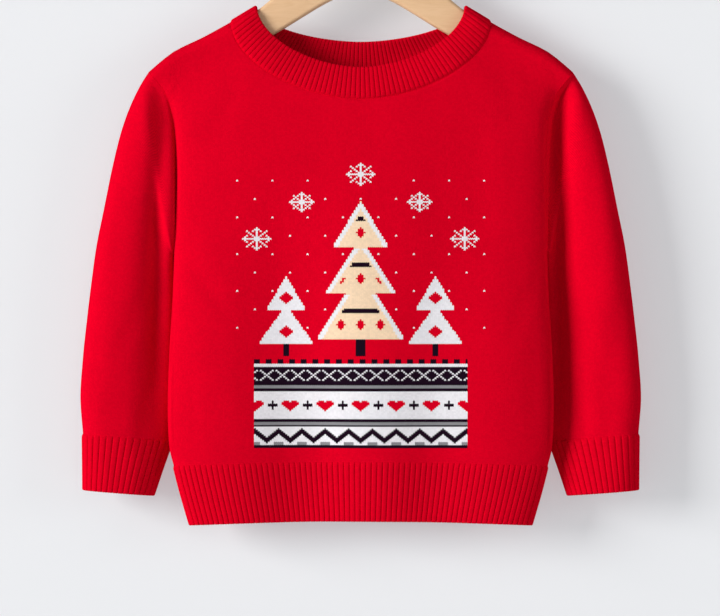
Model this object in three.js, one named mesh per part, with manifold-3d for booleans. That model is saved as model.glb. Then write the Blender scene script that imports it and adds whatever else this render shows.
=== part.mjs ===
// A child's crew-neck pullover in fine red knit, hanging on a wooden hanger with a wire hook.
// It is cut and knitted as front, back, two sleeves, a ribbed hem in two halves, two ribbed cuffs and a
// ribbed collar. Each piece is a thin wall built from a grid of points on the middle of the cloth.
//
// Millimetres, +Z up. The front faces -Y and the wearer's left side is +X. The origin is the inside top
// of the hook, where it sits on a rail. "drop" is the distance below the tips of the collar.
import * as THREE from "three";
import { mergeVertices } from "three/addons/utils/BufferGeometryUtils.js";
import Module from "manifold-3d";

const COLLAR_TIP_Z = -115;
const CLOTH = 2.0; // wall of the plain knit
const RIB_WALL = 2.2; // wall of the ribbed knit, without the ribs
const RIB_HEIGHT = 1.1; // from the groove to the crest of a rib
const SEAM_GAP = 0.5; // between two pieces at a seam
const STEEP_ROW = 0.5; // the least sine of the angle between a row and a column

// The ribs are counted from the middle of the hem to a side seam, round the front of a cuff from its
// inner edge, and from the crest of the shoulder to the middle of the collar. Each count listed is a
// column of points, which the plain knit beyond the seam has too.
const HEM_COUNTS = [0, 4, 8, 12, 16, 19, 22, 25, 27, 29, 31, 33, 34, 35];
const CUFF_COUNTS = [0, 1, 2, 4, 6, 8, 10, 12, 14, 15, 16];
const COLLAR_COUNTS = [0, 1, 2, 4, 8, 14, 20, 26, 33];
const LOWER_ROWS = 7; // of a body panel, from the hem to the underarm

const BOARD = 12; // thickness of the hanger's wood
const BOARD_ROUND = 3;
const BOARD_END_X = 157;
const WIRE_R = 1.75;
const HOOK_R = 20; // to the middle of the wire
const SWAN_R = 12;
const HOOK_TIP = 205; // degrees round the crook, from +X, at which the wire ends
const SHANK_IN_WOOD = 22;
const SHANK_CLEARANCE = 0.3;

const FRONT = -1;
const BACK = 1;

// The body: half its width as seen from the front, how far back its side edge lies, how far the front
// and back stand out from that edge at the middle, and how full they are beside the armhole seam.
const BODY = [
  { drop: 0, halfWidth: 173, sideY: 0, front: 9, back: 9 },
  { drop: 54.5, halfWidth: 173, sideY: 0, front: 17, back: 13 },
  { drop: 63, halfWidth: 166.5, sideY: 0, front: 18, back: 13.5 },
  { drop: 70.5, halfWidth: 160.7, sideY: 0, front: 18.5, back: 14 },
  { drop: 83.5, halfWidth: 155.8, sideY: 0, front: 19.5, back: 15 },
  { drop: 98, halfWidth: 152.9, sideY: 0, front: 20.5, back: 16 },
  { drop: 118, halfWidth: 151.6, sideY: 0, front: 21.5, back: 17 },
  { drop: 150, halfWidth: 151.2, sideY: 0, front: 23, back: 18 },
  { drop: 200, halfWidth: 152, sideY: -1, front: 24, back: 20 },
  { drop: 240, halfWidth: 153.3, sideY: -4, front: 23, back: 23 },
  { drop: 280, halfWidth: 155.7, sideY: -4.5, front: 23, back: 24 },
  { drop: 320, halfWidth: 157.2, sideY: -4.5, front: 22.5, back: 24 },
  { drop: 347, halfWidth: 156.9, sideY: -4, front: 21.5, back: 22.5 },
  { drop: 364, halfWidth: 155.5, sideY: -3.5, front: 20.5, back: 21 },
  { drop: 376.5, halfWidth: 152.4, sideY: -3, front: 19.5, back: 19.5 },
  { drop: 397.5, halfWidth: 147.1, sideY: -2, front: 18, back: 17 },
  { drop: 425.5, halfWidth: 139.1, sideY: -1, front: 16.5, back: 15 },
];
const SHOULDER_DROP = 54.5; // where the shoulder seam meets the sleeve
const UNDERARM_DROP = 200;
const HEM_TOP_DROP = 376.5; // at the side; the middle of the front and back is higher by HEM_RISE
const HEM_DROP = 425.5;
const HEM_RISE = 3.3;
const ARMHOLE_FULL = { [FRONT]: 16, [BACK]: 12 }; // how far the armhole seam bows out
const BODY_SQUARENESS = 2.6; // of the lens-shaped cross-section

// The crest of the shoulders, over the top edge of the hanger.
const RIDGE = [
  { x: 70, drop: -9 },
  { x: 84.8, drop: 1 },
  { x: 106.6, drop: 14.1 },
  { x: 128.7, drop: 26.2 },
  { x: 151.7, drop: 37.4 },
  { x: 162.4, drop: 45.3 },
  { x: 173, drop: 54.5 },
];
const CAP_R = 8.6; // of the cloth's bend over the hanger
const FULL_CHEST = 60; // how far below the crest the chest has its full depth

// The neck seam and the collar's rim are superellipses that start at the crest of the shoulders.
const NECK = { halfWidth: 106.6, top: 14.1, frontFall: 61.5, backFall: 38, power: 1.8 };
const RIM = { halfWidth: 84.8, top: 1, frontFall: 49.8, backFall: 27.7, power: 1.8 };
const RIM_DEPTH = { [FRONT]: 14, [BACK]: 12 }; // of the rim at its middle
const COLLAR_BULGE = 1.6;

// Rows of points up the armhole, as shares from the underarm to the shoulder.
const ARMHOLE_SHARES = [0, 0.06, 0.18, 0.34, 0.52, 0.69, 0.825, 0.92, 0.965, 0.988, 1];

// The sleeves: the outer and inner edge of each cross-section, and its depth each way from the line
// between them.
const SLEEVE = [
  { outX: 180.3, outDrop: 66.4, outY: 0.5, inX: 154.2, inDrop: 202.5, inY: 2.5, front: 17, back: 13 },
  { outX: 188.3, outDrop: 83, outY: 1, inX: 154, inDrop: 206.5, inY: 6, front: 18, back: 14 },
  { outX: 195.5, outDrop: 103.2, outY: 1.5, inX: 153.4, inDrop: 211.5, inY: 9, front: 19, back: 15 },
  { outX: 202.5, outDrop: 131.2, outY: 2, inX: 152.6, inDrop: 218, inY: 11.5, front: 20, back: 16 },
  { outX: 209.9, outDrop: 167.3, outY: 2.5, inX: 151.6, inDrop: 227, inY: 13.5, front: 21, back: 17 },
  { outX: 216, outDrop: 197.6, outY: 3, inX: 150.6, inDrop: 239, inY: 15, front: 21.5, back: 17 },
  { outX: 220.1, outDrop: 227, outY: 3.5, inX: 150, inDrop: 255, inY: 16, front: 21.5, back: 17 },
  { outX: 223.8, outDrop: 257.5, outY: 4, inX: 149.6, inDrop: 277, inY: 16.5, front: 21, back: 17 },
  { outX: 227.1, outDrop: 289, outY: 4, inX: 149.4, inDrop: 302, inY: 17, front: 20.5, back: 17 },
  { outX: 229.1, outDrop: 320.6, outY: 4, inX: 150.6, inDrop: 329, inY: 16.5, front: 19.5, back: 16.5 },
  { outX: 227, outDrop: 350.6, outY: 4, inX: 156, inDrop: 356.5, inY: 13.5, front: 18, back: 15.5 },
];
const CUFF = [
  { outX: 226.7, outDrop: 373, outY: 4, inX: 163.6, inDrop: 378, inY: 9, front: 16.5, back: 14.5 },
  { outX: 226.5, outDrop: 397, outY: 4, inX: 171.4, inDrop: 401.5, inY: 7, front: 15.5, back: 13.5 },
];
const SLEEVE_SQUARENESS = 2.2;

// Soft troughs that run down the cloth: where each starts and ends, its depth and its half-width.
// On the body x is signed. On a sleeve it is measured from the middle of the garment.
const BODY_TROUGHS = [
  { face: FRONT, topX: -112, topDrop: 150, endX: -100, endDrop: 425, depth: 5, half: 20 },
  { face: FRONT, topX: 128, topDrop: 190, endX: 112, endDrop: 415, depth: 2.6, half: 16 },
  { face: FRONT, topX: 70, topDrop: 130, endX: 66, endDrop: 400, depth: 2, half: 19 },
  { face: BACK, topX: -92, topDrop: 120, endX: -84, endDrop: 425, depth: 4, half: 21 },
  { face: BACK, topX: 98, topDrop: 150, endX: 106, endDrop: 420, depth: 4.6, half: 18 },
  { face: BACK, topX: 12, topDrop: 90, endX: 6, endDrop: 330, depth: 2.4, half: 24 },
];
const SLEEVE_TROUGHS = [
  { side: -1, face: FRONT, topX: 171, topDrop: 70, endX: 165, endDrop: 320, depth: 10, half: 9 },
  { side: 1, face: FRONT, topX: 168, topDrop: 72, endX: 162, endDrop: 345, depth: 12, half: 8.5 },
  { side: -1, face: FRONT, topX: 205, topDrop: 250, endX: 192, endDrop: 400, depth: 3, half: 12 },
  { side: 1, face: FRONT, topX: 207, topDrop: 235, endX: 200, endDrop: 390, depth: 2.6, half: 12 },
  { side: -1, face: BACK, topX: 178, topDrop: 90, endX: 182, endDrop: 330, depth: 6, half: 11 },
  { side: 1, face: BACK, topX: 176, topDrop: 95, endX: 186, endDrop: 350, depth: 6.5, half: 12 },
];

// The hanger's lower edge and, inside the collar, its upper edge. Further out the upper edge follows
// the crest of the shoulders, HANGER_BELOW_RIDGE under it.
const HANGER_LOWER = [
  { x: 0, drop: -13 },
  { x: 26, drop: -3.5 },
  { x: 69.5, drop: 22.5 },
  { x: 110, drop: 44 },
  { x: 145, drop: 59 },
];
const HANGER_UPPER = [
  { x: 0, drop: -56 },
  { x: 16, drop: -53.5 },
  { x: 40, drop: -38 },
  { x: 64, drop: -14 },
];
const HANGER_BELOW_RIDGE = 2.8;
const HANGER_RIDGE_XS = [84.8, 106.6, 128.7, 148];
const BOARD_END_DROP = 10; // of the board's blunt end below the crest
const UPPER_POINTS = 22; // along half of the hanger's upper edge
const LOWER_POINTS = 12;

const zOf = (drop) => COLLAR_TIP_Z - drop;
const radians = THREE.MathUtils.degToRad;
const lerp = THREE.MathUtils.lerp;
const smooth = (t) => THREE.MathUtils.smoothstep(t, 0, 1);

// The value of one column of a table, on a smooth curve through its rows.
function curveAt(rows, key, column, at) {
  const last = rows.length - 1;
  const held = THREE.MathUtils.clamp(at, rows[0][key], rows[last][key]);
  let i = 0;
  while (i < last - 1 && held > rows[i + 1][key]) i += 1;
  const slope = (k) => {
    const a = rows[Math.max(k - 1, 0)];
    const b = rows[Math.min(k + 1, last)];
    return (b[column] - a[column]) / (b[key] - a[key]);
  };
  const width = rows[i + 1][key] - rows[i][key];
  const t = (held - rows[i][key]) / width;
  const start = rows[i][column];
  const end = rows[i + 1][column];
  const bend = width * ((1 - t) * slope(i) - t * slope(i + 1)) + (2 * t - 1) * (end - start);
  return start + (end - start) * t + t * (1 - t) * bend;
}

// A round-ended profile over 0 to 1: 0 at both ends and 1 in the middle.
function lensProfile(t, power) {
  return (1 - Math.abs(2 * t - 1) ** power) ** (1 / power);
}

// The parameters, from 0 to 1, at which a curve has covered each given share of its length.
function evenly(curve, shares) {
  const steps = 400;
  const reach = [0];
  for (let i = 1; i <= steps; i += 1) {
    reach.push(reach[i - 1] + curve(i / steps).distanceTo(curve((i - 1) / steps)));
  }
  return shares.map((share) => {
    const at = share * reach[steps];
    const i = Math.max(1, reach.findIndex((length) => length >= at - 1e-9));
    return (i - 1 + (at - reach[i - 1]) / (reach[i] - reach[i - 1])) / steps;
  });
}

const shareOf = (counts) => counts.map((count) => count / counts.at(-1));
const between = (counts) => counts.slice(1).map((count, i) => count - counts[i]);

// How deep the troughs of one face are at a point, fading towards both ends of each.
function troughDepth(troughs, face, x, drop) {
  let depth = 0;
  for (const fold of troughs) {
    const along = (drop - fold.topDrop) / (fold.endDrop - fold.topDrop);
    if (fold.face !== face || along <= 0 || along >= 1) continue;
    const away = (x - lerp(fold.topX, fold.endX, along)) / fold.half;
    depth += fold.depth * Math.sin(Math.PI * along) ** 0.8 * Math.exp(-away * away);
  }
  return depth;
}

// Y of the body's front or back at a point seen from the front.
function bodyY(face, x, drop) {
  const sideY = curveAt(BODY, "drop", "sideY", drop);
  const middle = curveAt(BODY, "drop", face === FRONT ? "front" : "back", drop);
  const across = Math.min(1, Math.abs(x) / curveAt(BODY, "drop", "halfWidth", drop));
  const upArmhole = (UNDERARM_DROP - drop) / (UNDERARM_DROP - SHOULDER_DROP);
  const edge = upArmhole > 0 && upArmhole < 1 ? ARMHOLE_FULL[face] * lensProfile(upArmhole, 2) : 0;
  const lens = (1 - across ** BODY_SQUARENESS) ** 0.5;
  const full = edge + (middle - edge) * lens;
  const belowRidge = Math.max(0, drop - curveAt(RIDGE, "x", "drop", Math.abs(x)));
  const cap = Math.sqrt(1 - (1 - Math.min(1, belowRidge / CAP_R)) ** 2);
  const bent = CAP_R * cap + smooth(belowRidge / FULL_CHEST) * (full - CAP_R);
  return sideY + face * (bent - lens * troughDepth(BODY_TROUGHS, face, x, drop));
}

const point = (x, y, drop) => new THREE.Vector3(x, y, zOf(drop));

// A point of the neck seam or the rim, from the crest of the shoulder (0) down to the middle (1).
function neckPoint(ring, face, side, t) {
  const turn = (Math.PI / 2) * t;
  const fall = face === FRONT ? ring.frontFall : ring.backFall;
  const x = ring.halfWidth * Math.max(0, Math.cos(turn)) ** (2 / ring.power);
  const drop = ring.top + fall * Math.sin(turn) ** (2 / ring.power);
  if (ring === NECK) return point(side * x, bodyY(face, x, drop), drop);
  const belowRidge = Math.max(0, drop - curveAt(RIDGE, "x", "drop", x));
  const cap = Math.sqrt(1 - (1 - Math.min(1, belowRidge / CAP_R)) ** 2);
  const y = face * (CAP_R * cap + (RIM_DEPTH[face] - CAP_R) * smooth(t));
  return point(side * x, y, drop);
}

// A quarter of the neck seam or the rim, with a point at each of the counts.
function neckQuarter(ring, face, side) {
  const ts = evenly((t) => neckPoint(ring, face, side, t), shareOf(COLLAR_COUNTS));
  return ts.map((t) => neckPoint(ring, face, side, t));
}

// The share of the half-width at which each column of a panel stands, from the middle out.
const HALF_COLUMNS = HEM_COUNTS.length - 1;
const quarterSine = (t) => Math.sin((Math.PI / 2) * t);
const seamPoint = (share) => {
  const x = share * curveAt(BODY, "drop", "halfWidth", HEM_TOP_DROP);
  return point(x, bodyY(FRONT, x, HEM_TOP_DROP), HEM_TOP_DROP);
};
const COLUMN_SHARES = evenly((t) => seamPoint(quarterSine(t)), shareOf(HEM_COUNTS)).map(quarterSine);

// The top edge of a panel, from the middle of the neck out to the sleeve.
function topEdge(face, side) {
  const neck = neckQuarter(NECK, face, side).toReversed();
  const columns = HALF_COLUMNS + 1 - neck.length;
  const shoulder = Array.from({ length: columns }, (_, k) => {
    const x = lerp(NECK.halfWidth, RIDGE.at(-1).x, (k + 1) / columns);
    return point(side * x, 0, curveAt(RIDGE, "x", "drop", x));
  });
  return [...neck, ...shoulder];
}

// The mid-surface of the front or back, rows from the hem up and columns from -X to +X.
function panelGrid(face) {
  const rows = [];
  const columns = [];
  for (let k = -HALF_COLUMNS; k <= HALF_COLUMNS; k += 1) columns.push(k);
  const rise = (share) => HEM_RISE * (1 - share * share);
  const tops = { [-1]: topEdge(face, -1), [1]: topEdge(face, 1) };
  for (let j = 0; j < LOWER_ROWS; j += 1) {
    const up = j / LOWER_ROWS;
    rows.push(
      columns.map((k) => {
        const share = Math.sign(k) * COLUMN_SHARES[Math.abs(k)];
        const drop = lerp(HEM_TOP_DROP - rise(share), UNDERARM_DROP, up);
        const sideDrop = lerp(HEM_TOP_DROP, UNDERARM_DROP, up);
        const x = share * curveAt(BODY, "drop", "halfWidth", sideDrop);
        const seamY = curveAt(BODY, "drop", "sideY", sideDrop);
        return point(x, Math.abs(share) === 1 ? seamY : bodyY(face, x, drop), drop);
      }),
    );
  }
  for (const up of ARMHOLE_SHARES) {
    const edgeDrop = lerp(UNDERARM_DROP, SHOULDER_DROP, up);
    const edgeX = curveAt(BODY, "drop", "halfWidth", edgeDrop);
    rows.push(
      columns.map((k) => {
        const share = COLUMN_SHARES[Math.abs(k)];
        const side = Math.sign(k) || 1;
        const top = tops[side][Math.abs(k)];
        const even = Math.abs(k) / HALF_COLUMNS;
        const bottomX = share * curveAt(BODY, "drop", "halfWidth", UNDERARM_DROP);
        const straightX = lerp(bottomX, Math.abs(top.x), up);
        const edgeStraightX = lerp(curveAt(BODY, "drop", "halfWidth", UNDERARM_DROP), RIDGE.at(-1).x, up);
        const x = straightX + even * (edgeX - edgeStraightX);
        const topDrop = COLLAR_TIP_Z - top.z;
        const drop = lerp(UNDERARM_DROP, topDrop, up);
        return up === 1 ? top : point(side * x, bodyY(face, x, drop), drop);
      }),
    );
  }
  return rows;
}

// How far a sleeve's front or back stands out at a share of the way from its inner to its outer edge.
function roundTo(up, row, face) {
  return (face === FRONT ? row.front : row.back) * lensProfile(up, SLEEVE_SQUARENESS);
}

const halfTurn = (t) => (1 - Math.cos(Math.PI * t)) / 2;

// The shares across a cuff, from its inner edge, at which the counted ribs of its front stand.
const CUFF_SHARES = evenly((t) => {
  const row = SLEEVE.at(-1);
  const up = halfTurn(t);
  const width = Math.hypot(row.outX - row.inX, row.outDrop - row.inDrop);
  return new THREE.Vector3(up * width, roundTo(up, row, FRONT), 0);
}, shareOf(CUFF_COUNTS)).map(halfTurn);

// A ring of a sleeve or cuff: from the outer edge down the front to the inner edge and up the back.
// "along" runs from 0 at the armhole to 1 at the cuff.
function sleeveRing(row, side, along) {
  const ring = [];
  const outer = point(side * row.outX, row.outY, row.outDrop);
  const inner = point(side * row.inX, row.inY, row.inDrop);
  const sideTroughs = SLEEVE_TROUGHS.filter((fold) => fold.side === side);
  const shares = ARMHOLE_SHARES.map((share, i) => lerp(share, CUFF_SHARES[i], along));
  const add = (face, up) => {
    const p = inner.clone().lerp(outer, up);
    const full = lensProfile(up, SLEEVE_SQUARENESS);
    const drop = COLLAR_TIP_Z - p.z;
    p.y += face * (roundTo(up, row, face) - full * troughDepth(sideTroughs, face, Math.abs(p.x), drop));
    ring.push(p);
  };
  for (const up of shares.toReversed()) add(FRONT, up);
  for (const up of shares.slice(1, -1)) add(BACK, up);
  return ring;
}

// The armhole's own ring, on the edges of the two panels.
function armholeRing(side) {
  const edge = (face, up) => {
    const drop = lerp(UNDERARM_DROP, SHOULDER_DROP, up);
    const x = curveAt(BODY, "drop", "halfWidth", drop);
    const y = up === 0 || up === 1 ? curveAt(BODY, "drop", "sideY", drop) : bodyY(face, x, drop);
    return point(side * x, y, drop);
  };
  const front = ARMHOLE_SHARES.toReversed().map((up) => edge(FRONT, up));
  const back = ARMHOLE_SHARES.slice(1, -1).map((up) => edge(BACK, up));
  return [...front, ...back];
}

function sleeveGrid(side) {
  return [armholeRing(side), ...SLEEVE.map((row, i) => sleeveRing(row, side, (i + 1) / SLEEVE.length))];
}

const cuffGrid = (side) => [SLEEVE.at(-1), ...CUFF].map((row) => sleeveRing(row, side, 1));

// Half a hem: its top edge is the panel's bottom row, and its bottom edge is worked out the same way.
function hemGrid(face, panel) {
  const bottom = panel[0].map((p, i) => {
    const k = i - HALF_COLUMNS;
    const share = Math.sign(k) * COLUMN_SHARES[Math.abs(k)];
    const x = share * curveAt(BODY, "drop", "halfWidth", HEM_DROP);
    const y = Math.abs(share) === 1 ? curveAt(BODY, "drop", "sideY", HEM_DROP) : bodyY(face, x, HEM_DROP);
    return point(x, y, HEM_DROP - HEM_RISE * (1 - share * share));
  });
  return [bottom, panel[0]];
}

// The collar's three rings, each once round: front from -X to +X, then back from +X to -X.
function collarGrid() {
  const around = (ring) => {
    const front = [...neckQuarter(ring, FRONT, -1), ...neckQuarter(ring, FRONT, 1).toReversed().slice(1)];
    const back = [...neckQuarter(ring, BACK, 1), ...neckQuarter(ring, BACK, -1).toReversed().slice(1)];
    return [...front, ...back.slice(1, -1)];
  };
  const seam = around(NECK);
  const rim = around(RIM);
  const middle = seam.map((p, i) => {
    const m = p.clone().lerp(rim[i], 0.5);
    m.y += Math.sign(m.y) * COLLAR_BULGE;
    return m;
  });
  return [seam, middle, rim];
}

// Unit normals of a grid, facing out. Where a row runs nearly along a column, as the neck's edge does at
// the shoulders, the row below gives the normal.
function gridNormals(grid, closed, flip) {
  const last = grid[0].length - 1;
  const rowsLast = grid.length - 1;
  const normals = [];
  grid.forEach((row, j) => {
    normals.push(
      row.map((_, i) => {
        const before = closed ? (i + last) % (last + 1) : Math.max(i - 1, 0);
        const after = closed ? (i + 1) % (last + 1) : Math.min(i + 1, last);
        const along = row[after].clone().sub(row[before]).normalize();
        const up = grid[Math.min(j + 1, rowsLast)][i].clone().sub(grid[Math.max(j - 1, 0)][i]).normalize();
        const across = along.cross(up).multiplyScalar(flip);
        return j > 0 && across.length() < STEEP_ROW ? normals[j - 1][i].clone() : across.normalize();
      }),
    );
  });
  return normals;
}

// Points that lie together on two or more pieces get one shared normal, so that the pieces meet face
// to face along every seam. Tubes and flat pieces count alike in it.
function shareNormals(sheets) {
  const meeting = new Map();
  const eachPoint = (use) =>
    sheets.forEach((sheet) =>
      sheet.grid.forEach((row, j) =>
        row.forEach((p, i) => use(p.toArray().map((v) => Math.floor(v * 20 + 0.137)).join(), sheet, j, i)),
      ),
    );
  eachPoint((key, sheet, j, i) => {
    if (!meeting.has(key)) meeting.set(key, { flat: new THREE.Vector3(), tube: new THREE.Vector3() });
    meeting.get(key)[sheet.closed ? "tube" : "flat"].add(sheet.normals[j][i]);
  });
  eachPoint((key, sheet, j, i) => {
    const { flat, tube } = meeting.get(key);
    sheet.normals[j][i] = flat.clone().normalize().add(tube.clone().normalize()).normalize();
  });
}

// Draws the edges of a sheet back by half the seam gap, with a mitre where an edge turns.
function insetEdges(sheet) {
  const { grid, normals, closed } = sheet;
  const columns = grid[0].length;
  const rowsLast = grid.length - 1;
  const moves = [];
  const plan = (p, normal, before, after, inside) => {
    const inward = (from, to) => {
      const edge = to.clone().sub(from).cross(normal).normalize();
      return edge.multiplyScalar(Math.sign(edge.dot(inside.clone().sub(p))) || 1);
    };
    const one = inward(before ?? p, before ? p : after);
    const other = inward(after ? p : before, after ?? p);
    const mitre = one.clone().add(other).divideScalar(Math.max(0.7, 1 + one.dot(other)));
    moves.push([p, mitre.multiplyScalar(SEAM_GAP / 2)]);
  };
  for (const [j, next] of [[0, 1], [rowsLast, rowsLast - 1]]) {
    grid[j].forEach((p, i) => {
      const before = closed ? grid[j].at(i - 1) : grid[j][i - 1];
      const after = closed ? grid[j][(i + 1) % columns] : grid[j][i + 1];
      plan(p, normals[j][i], before, after, grid[next][i]);
    });
  }
  for (let j = 0; j <= rowsLast && !closed; j += 1) {
    for (const [i, next] of [[0, 1], [columns - 1, columns - 2]]) {
      plan(grid[j][i], normals[j][i], grid[j - 1]?.[i], grid[j + 1]?.[i], grid[j][next]);
    }
  }
  moves.forEach(([p, by]) => p.add(by));
}

// A sheet's rows with a groove and a crest for every rib, counted span by span.
function ribbed(sheet) {
  const { grid, normals, closed, ribs } = sheet;
  const spaced = (row) => {
    const points = ribs.flatMap((count, i) => {
      const next = row[(i + 1) % row.length];
      return Array.from({ length: 2 * count }, (_, s) => row[i].clone().lerp(next, s / (2 * count)));
    });
    return closed ? points : [...points, row.at(-1).clone()];
  };
  return { ...sheet, grid: grid.map(spaced), normals: normals.map(spaced) };
}

// The closed wall round a sheet. On a ribbed one the crests stand out, and the plain inside has one
// column of points for each rib.
function wallGeometry(sheet) {
  const { grid, normals, closed, ribs, wall, outwards } = sheet;
  const columns = grid[0].length;
  const rows = grid.length;
  const step = ribs ? 2 : 1;
  const positions = [];
  const index = [];
  const outerAt = (j, i) => j * columns + (i % columns);
  grid.forEach((row, j) =>
    row.forEach((p, i) => {
      const crest = ribs && i % 2 ? RIB_HEIGHT : 0;
      positions.push(...p.clone().addScaledVector(normals[j][i], wall / 2 + crest).toArray());
    }),
  );
  const innerColumns = Math.ceil(columns / step);
  const innerAt = (j, i) => rows * columns + j * innerColumns + ((i / step) % innerColumns);
  grid.forEach((row, j) =>
    row.forEach((p, i) => {
      if (i % step === 0) positions.push(...p.clone().addScaledVector(normals[j][i], -wall / 2).toArray());
    }),
  );
  // A polygon as a fan of triangles round its first corner.
  const face = (corners, turn = 1) => {
    const fan = turn * outwards > 0 ? corners : [corners[0], ...corners.slice(1).toReversed()];
    for (let k = 2; k < fan.length; k += 1) index.push(fan[0], fan[k - 1], fan[k]);
  };
  const spans = closed ? columns : columns - 1;
  // The diagonals mirror each other across the middle of the garment.
  const widens = (i, next) => Math.abs(grid[0][next % columns].x) > Math.abs(grid[0][i].x);
  for (let j = 0; j < rows - 1; j += 1) {
    for (let i = 0; i < spans; i += 1) {
      const quad = [outerAt(j, i), outerAt(j, i + 1), outerAt(j + 1, i + 1), outerAt(j + 1, i)];
      face(widens(i, i + 1) ? [...quad.slice(1), quad[0]] : quad);
    }
    for (let i = 0; i < spans; i += step) {
      const quad = [innerAt(j, i), innerAt(j, i + step), innerAt(j + 1, i + step), innerAt(j + 1, i)];
      face(widens(i, i + step) ? [...quad.slice(1), quad[0]] : quad, -1);
    }
  }
  for (const [j, turn] of [[0, 1], [rows - 1, -1]]) {
    for (let i = 0; i < spans; i += step) {
      const outer = Array.from({ length: step + 1 }, (_, k) => outerAt(j, i + k)).toReversed();
      const edge = [innerAt(j, i + step), ...outer];
      face(widens(i, i + step) ? [innerAt(j, i), ...edge] : [...edge, innerAt(j, i)], turn);
    }
  }
  for (let j = 0; j < rows - 1 && !closed; j += 1) {
    face([innerAt(j, 0), outerAt(j, 0), outerAt(j + 1, 0), innerAt(j + 1, 0)]);
    face([innerAt(j, spans), outerAt(j, spans), outerAt(j + 1, spans), innerAt(j + 1, spans)], -1);
  }
  const geometry = new THREE.BufferGeometry();
  geometry.setAttribute("position", new THREE.Float32BufferAttribute(positions, 3));
  geometry.setIndex(index);
  geometry.computeVertexNormals();
  return geometry;
}

// The hook's line: up out of the wood, a swan-neck bend to the right and a round crook to the left.
class HookLine extends THREE.Curve {
  constructor() {
    super();
    const crookZ = WIRE_R - HOOK_R;
    const bendZ = crookZ - Math.sqrt(HOOK_R ** 2 + 2 * HOOK_R * SWAN_R);
    const meet = Math.atan2(crookZ - bendZ, -SWAN_R);
    const footZ = zOf(HANGER_UPPER[0].drop) - SHANK_IN_WOOD;
    this.parts = [
      { length: bendZ - footZ, at: (t) => [0, lerp(footZ, bendZ, t)] },
      this.arc(SWAN_R, bendZ, SWAN_R, Math.PI, meet),
      this.arc(0, crookZ, HOOK_R, meet - Math.PI, radians(HOOK_TIP)),
    ];
    this.whole = this.parts.reduce((sum, part) => sum + part.length, 0);
  }

  arc(x, z, radius, from, to) {
    return {
      length: radius * Math.abs(to - from),
      at: (t) => [x + radius * Math.cos(lerp(from, to, t)), z + radius * Math.sin(lerp(from, to, t))],
    };
  }

  getPoint(t, target = new THREE.Vector3()) {
    let left = t * this.whole;
    let i = 0;
    while (i < this.parts.length - 1 && left > this.parts[i].length) {
      left -= this.parts[i].length;
      i += 1;
    }
    const [x, z] = this.parts[i].at(left / this.parts[i].length);
    return target.set(x, 0, z);
  }
}

const WIRE_SIDES = 10;
const HOOK_STEPS = 44;

function wireSection(radius) {
  const turn = (2 * Math.PI) / WIRE_SIDES;
  const corner = (k) => new THREE.Vector2(radius * Math.cos(k * turn), radius * Math.sin(k * turn));
  return new THREE.Shape(Array.from({ length: WIRE_SIDES }, (_, k) => corner(k)));
}

function hookGeometry() {
  return new THREE.ExtrudeGeometry(wireSection(WIRE_R), { steps: HOOK_STEPS, extrudePath: new HookLine() });
}

// The flat outline of the hanger, seen from the front with its drops as heights.
function hangerShape() {
  const below = (x, drop) => ({ x, drop: curveAt(RIDGE, "x", "drop", x) + drop });
  const toPoint = ({ x, drop }) => new THREE.Vector2(x, zOf(drop));
  const crest = HANGER_RIDGE_XS.map((x) => below(x, HANGER_BELOW_RIDGE));
  const upper = new THREE.SplineCurve([...HANGER_UPPER, ...crest].map(toPoint)).getPoints(UPPER_POINTS);
  const lower = new THREE.SplineCurve(HANGER_LOWER.map(toPoint)).getPoints(LOWER_POINTS);
  const tip = toPoint(below(BOARD_END_X, BOARD_END_DROP));
  const right = [...upper, tip, ...lower.toReversed()];
  const left = right.slice(1, -1).map((p) => new THREE.Vector2(-p.x, p.y));
  return new THREE.Shape([...right, ...left.toReversed()]);
}

function asManifold(wasm, geometry) {
  const bare = geometry.clone();
  bare.deleteAttribute("normal");
  bare.deleteAttribute("uv");
  const merged = mergeVertices(bare, 1e-4);
  const vertProperties = merged.attributes.position.array;
  const triVerts = new Uint32Array(merged.index.array);
  return new wasm.Manifold(new wasm.Mesh({ numProp: 3, vertProperties, triVerts }));
}

// The wooden board with rounded edges and a drilled hole for the hook.
async function hangerGeometry() {
  const wasm = await Module();
  wasm.setup();
  const board = new THREE.ExtrudeGeometry(hangerShape(), {
    depth: BOARD - 2 * BOARD_ROUND,
    bevelThickness: BOARD_ROUND,
    bevelSize: BOARD_ROUND,
    bevelOffset: -BOARD_ROUND,
    bevelSegments: 2,
  });
  board.translate(0, 0, BOARD_ROUND - BOARD / 2);
  board.rotateX(Math.PI / 2);
  const top = zOf(HANGER_UPPER[0].drop);
  const reach = 5; // the drill starts this far above the wood
  const depth = SHANK_IN_WOOD + SHANK_CLEARANCE + reach;
  const hole = wireSection(WIRE_R + SHANK_CLEARANCE);
  const drill = new THREE.ExtrudeGeometry(hole, { depth, bevelEnabled: false });
  drill.translate(0, 0, top + reach - depth);
  const cut = asManifold(wasm, board).subtract(asManifold(wasm, drill)).getMesh();
  const geometry = new THREE.BufferGeometry();
  geometry.setAttribute("position", new THREE.BufferAttribute(cut.vertProperties, 3));
  geometry.setIndex(new THREE.BufferAttribute(cut.triVerts, 1));
  geometry.computeVertexNormals();
  return geometry;
}

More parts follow.
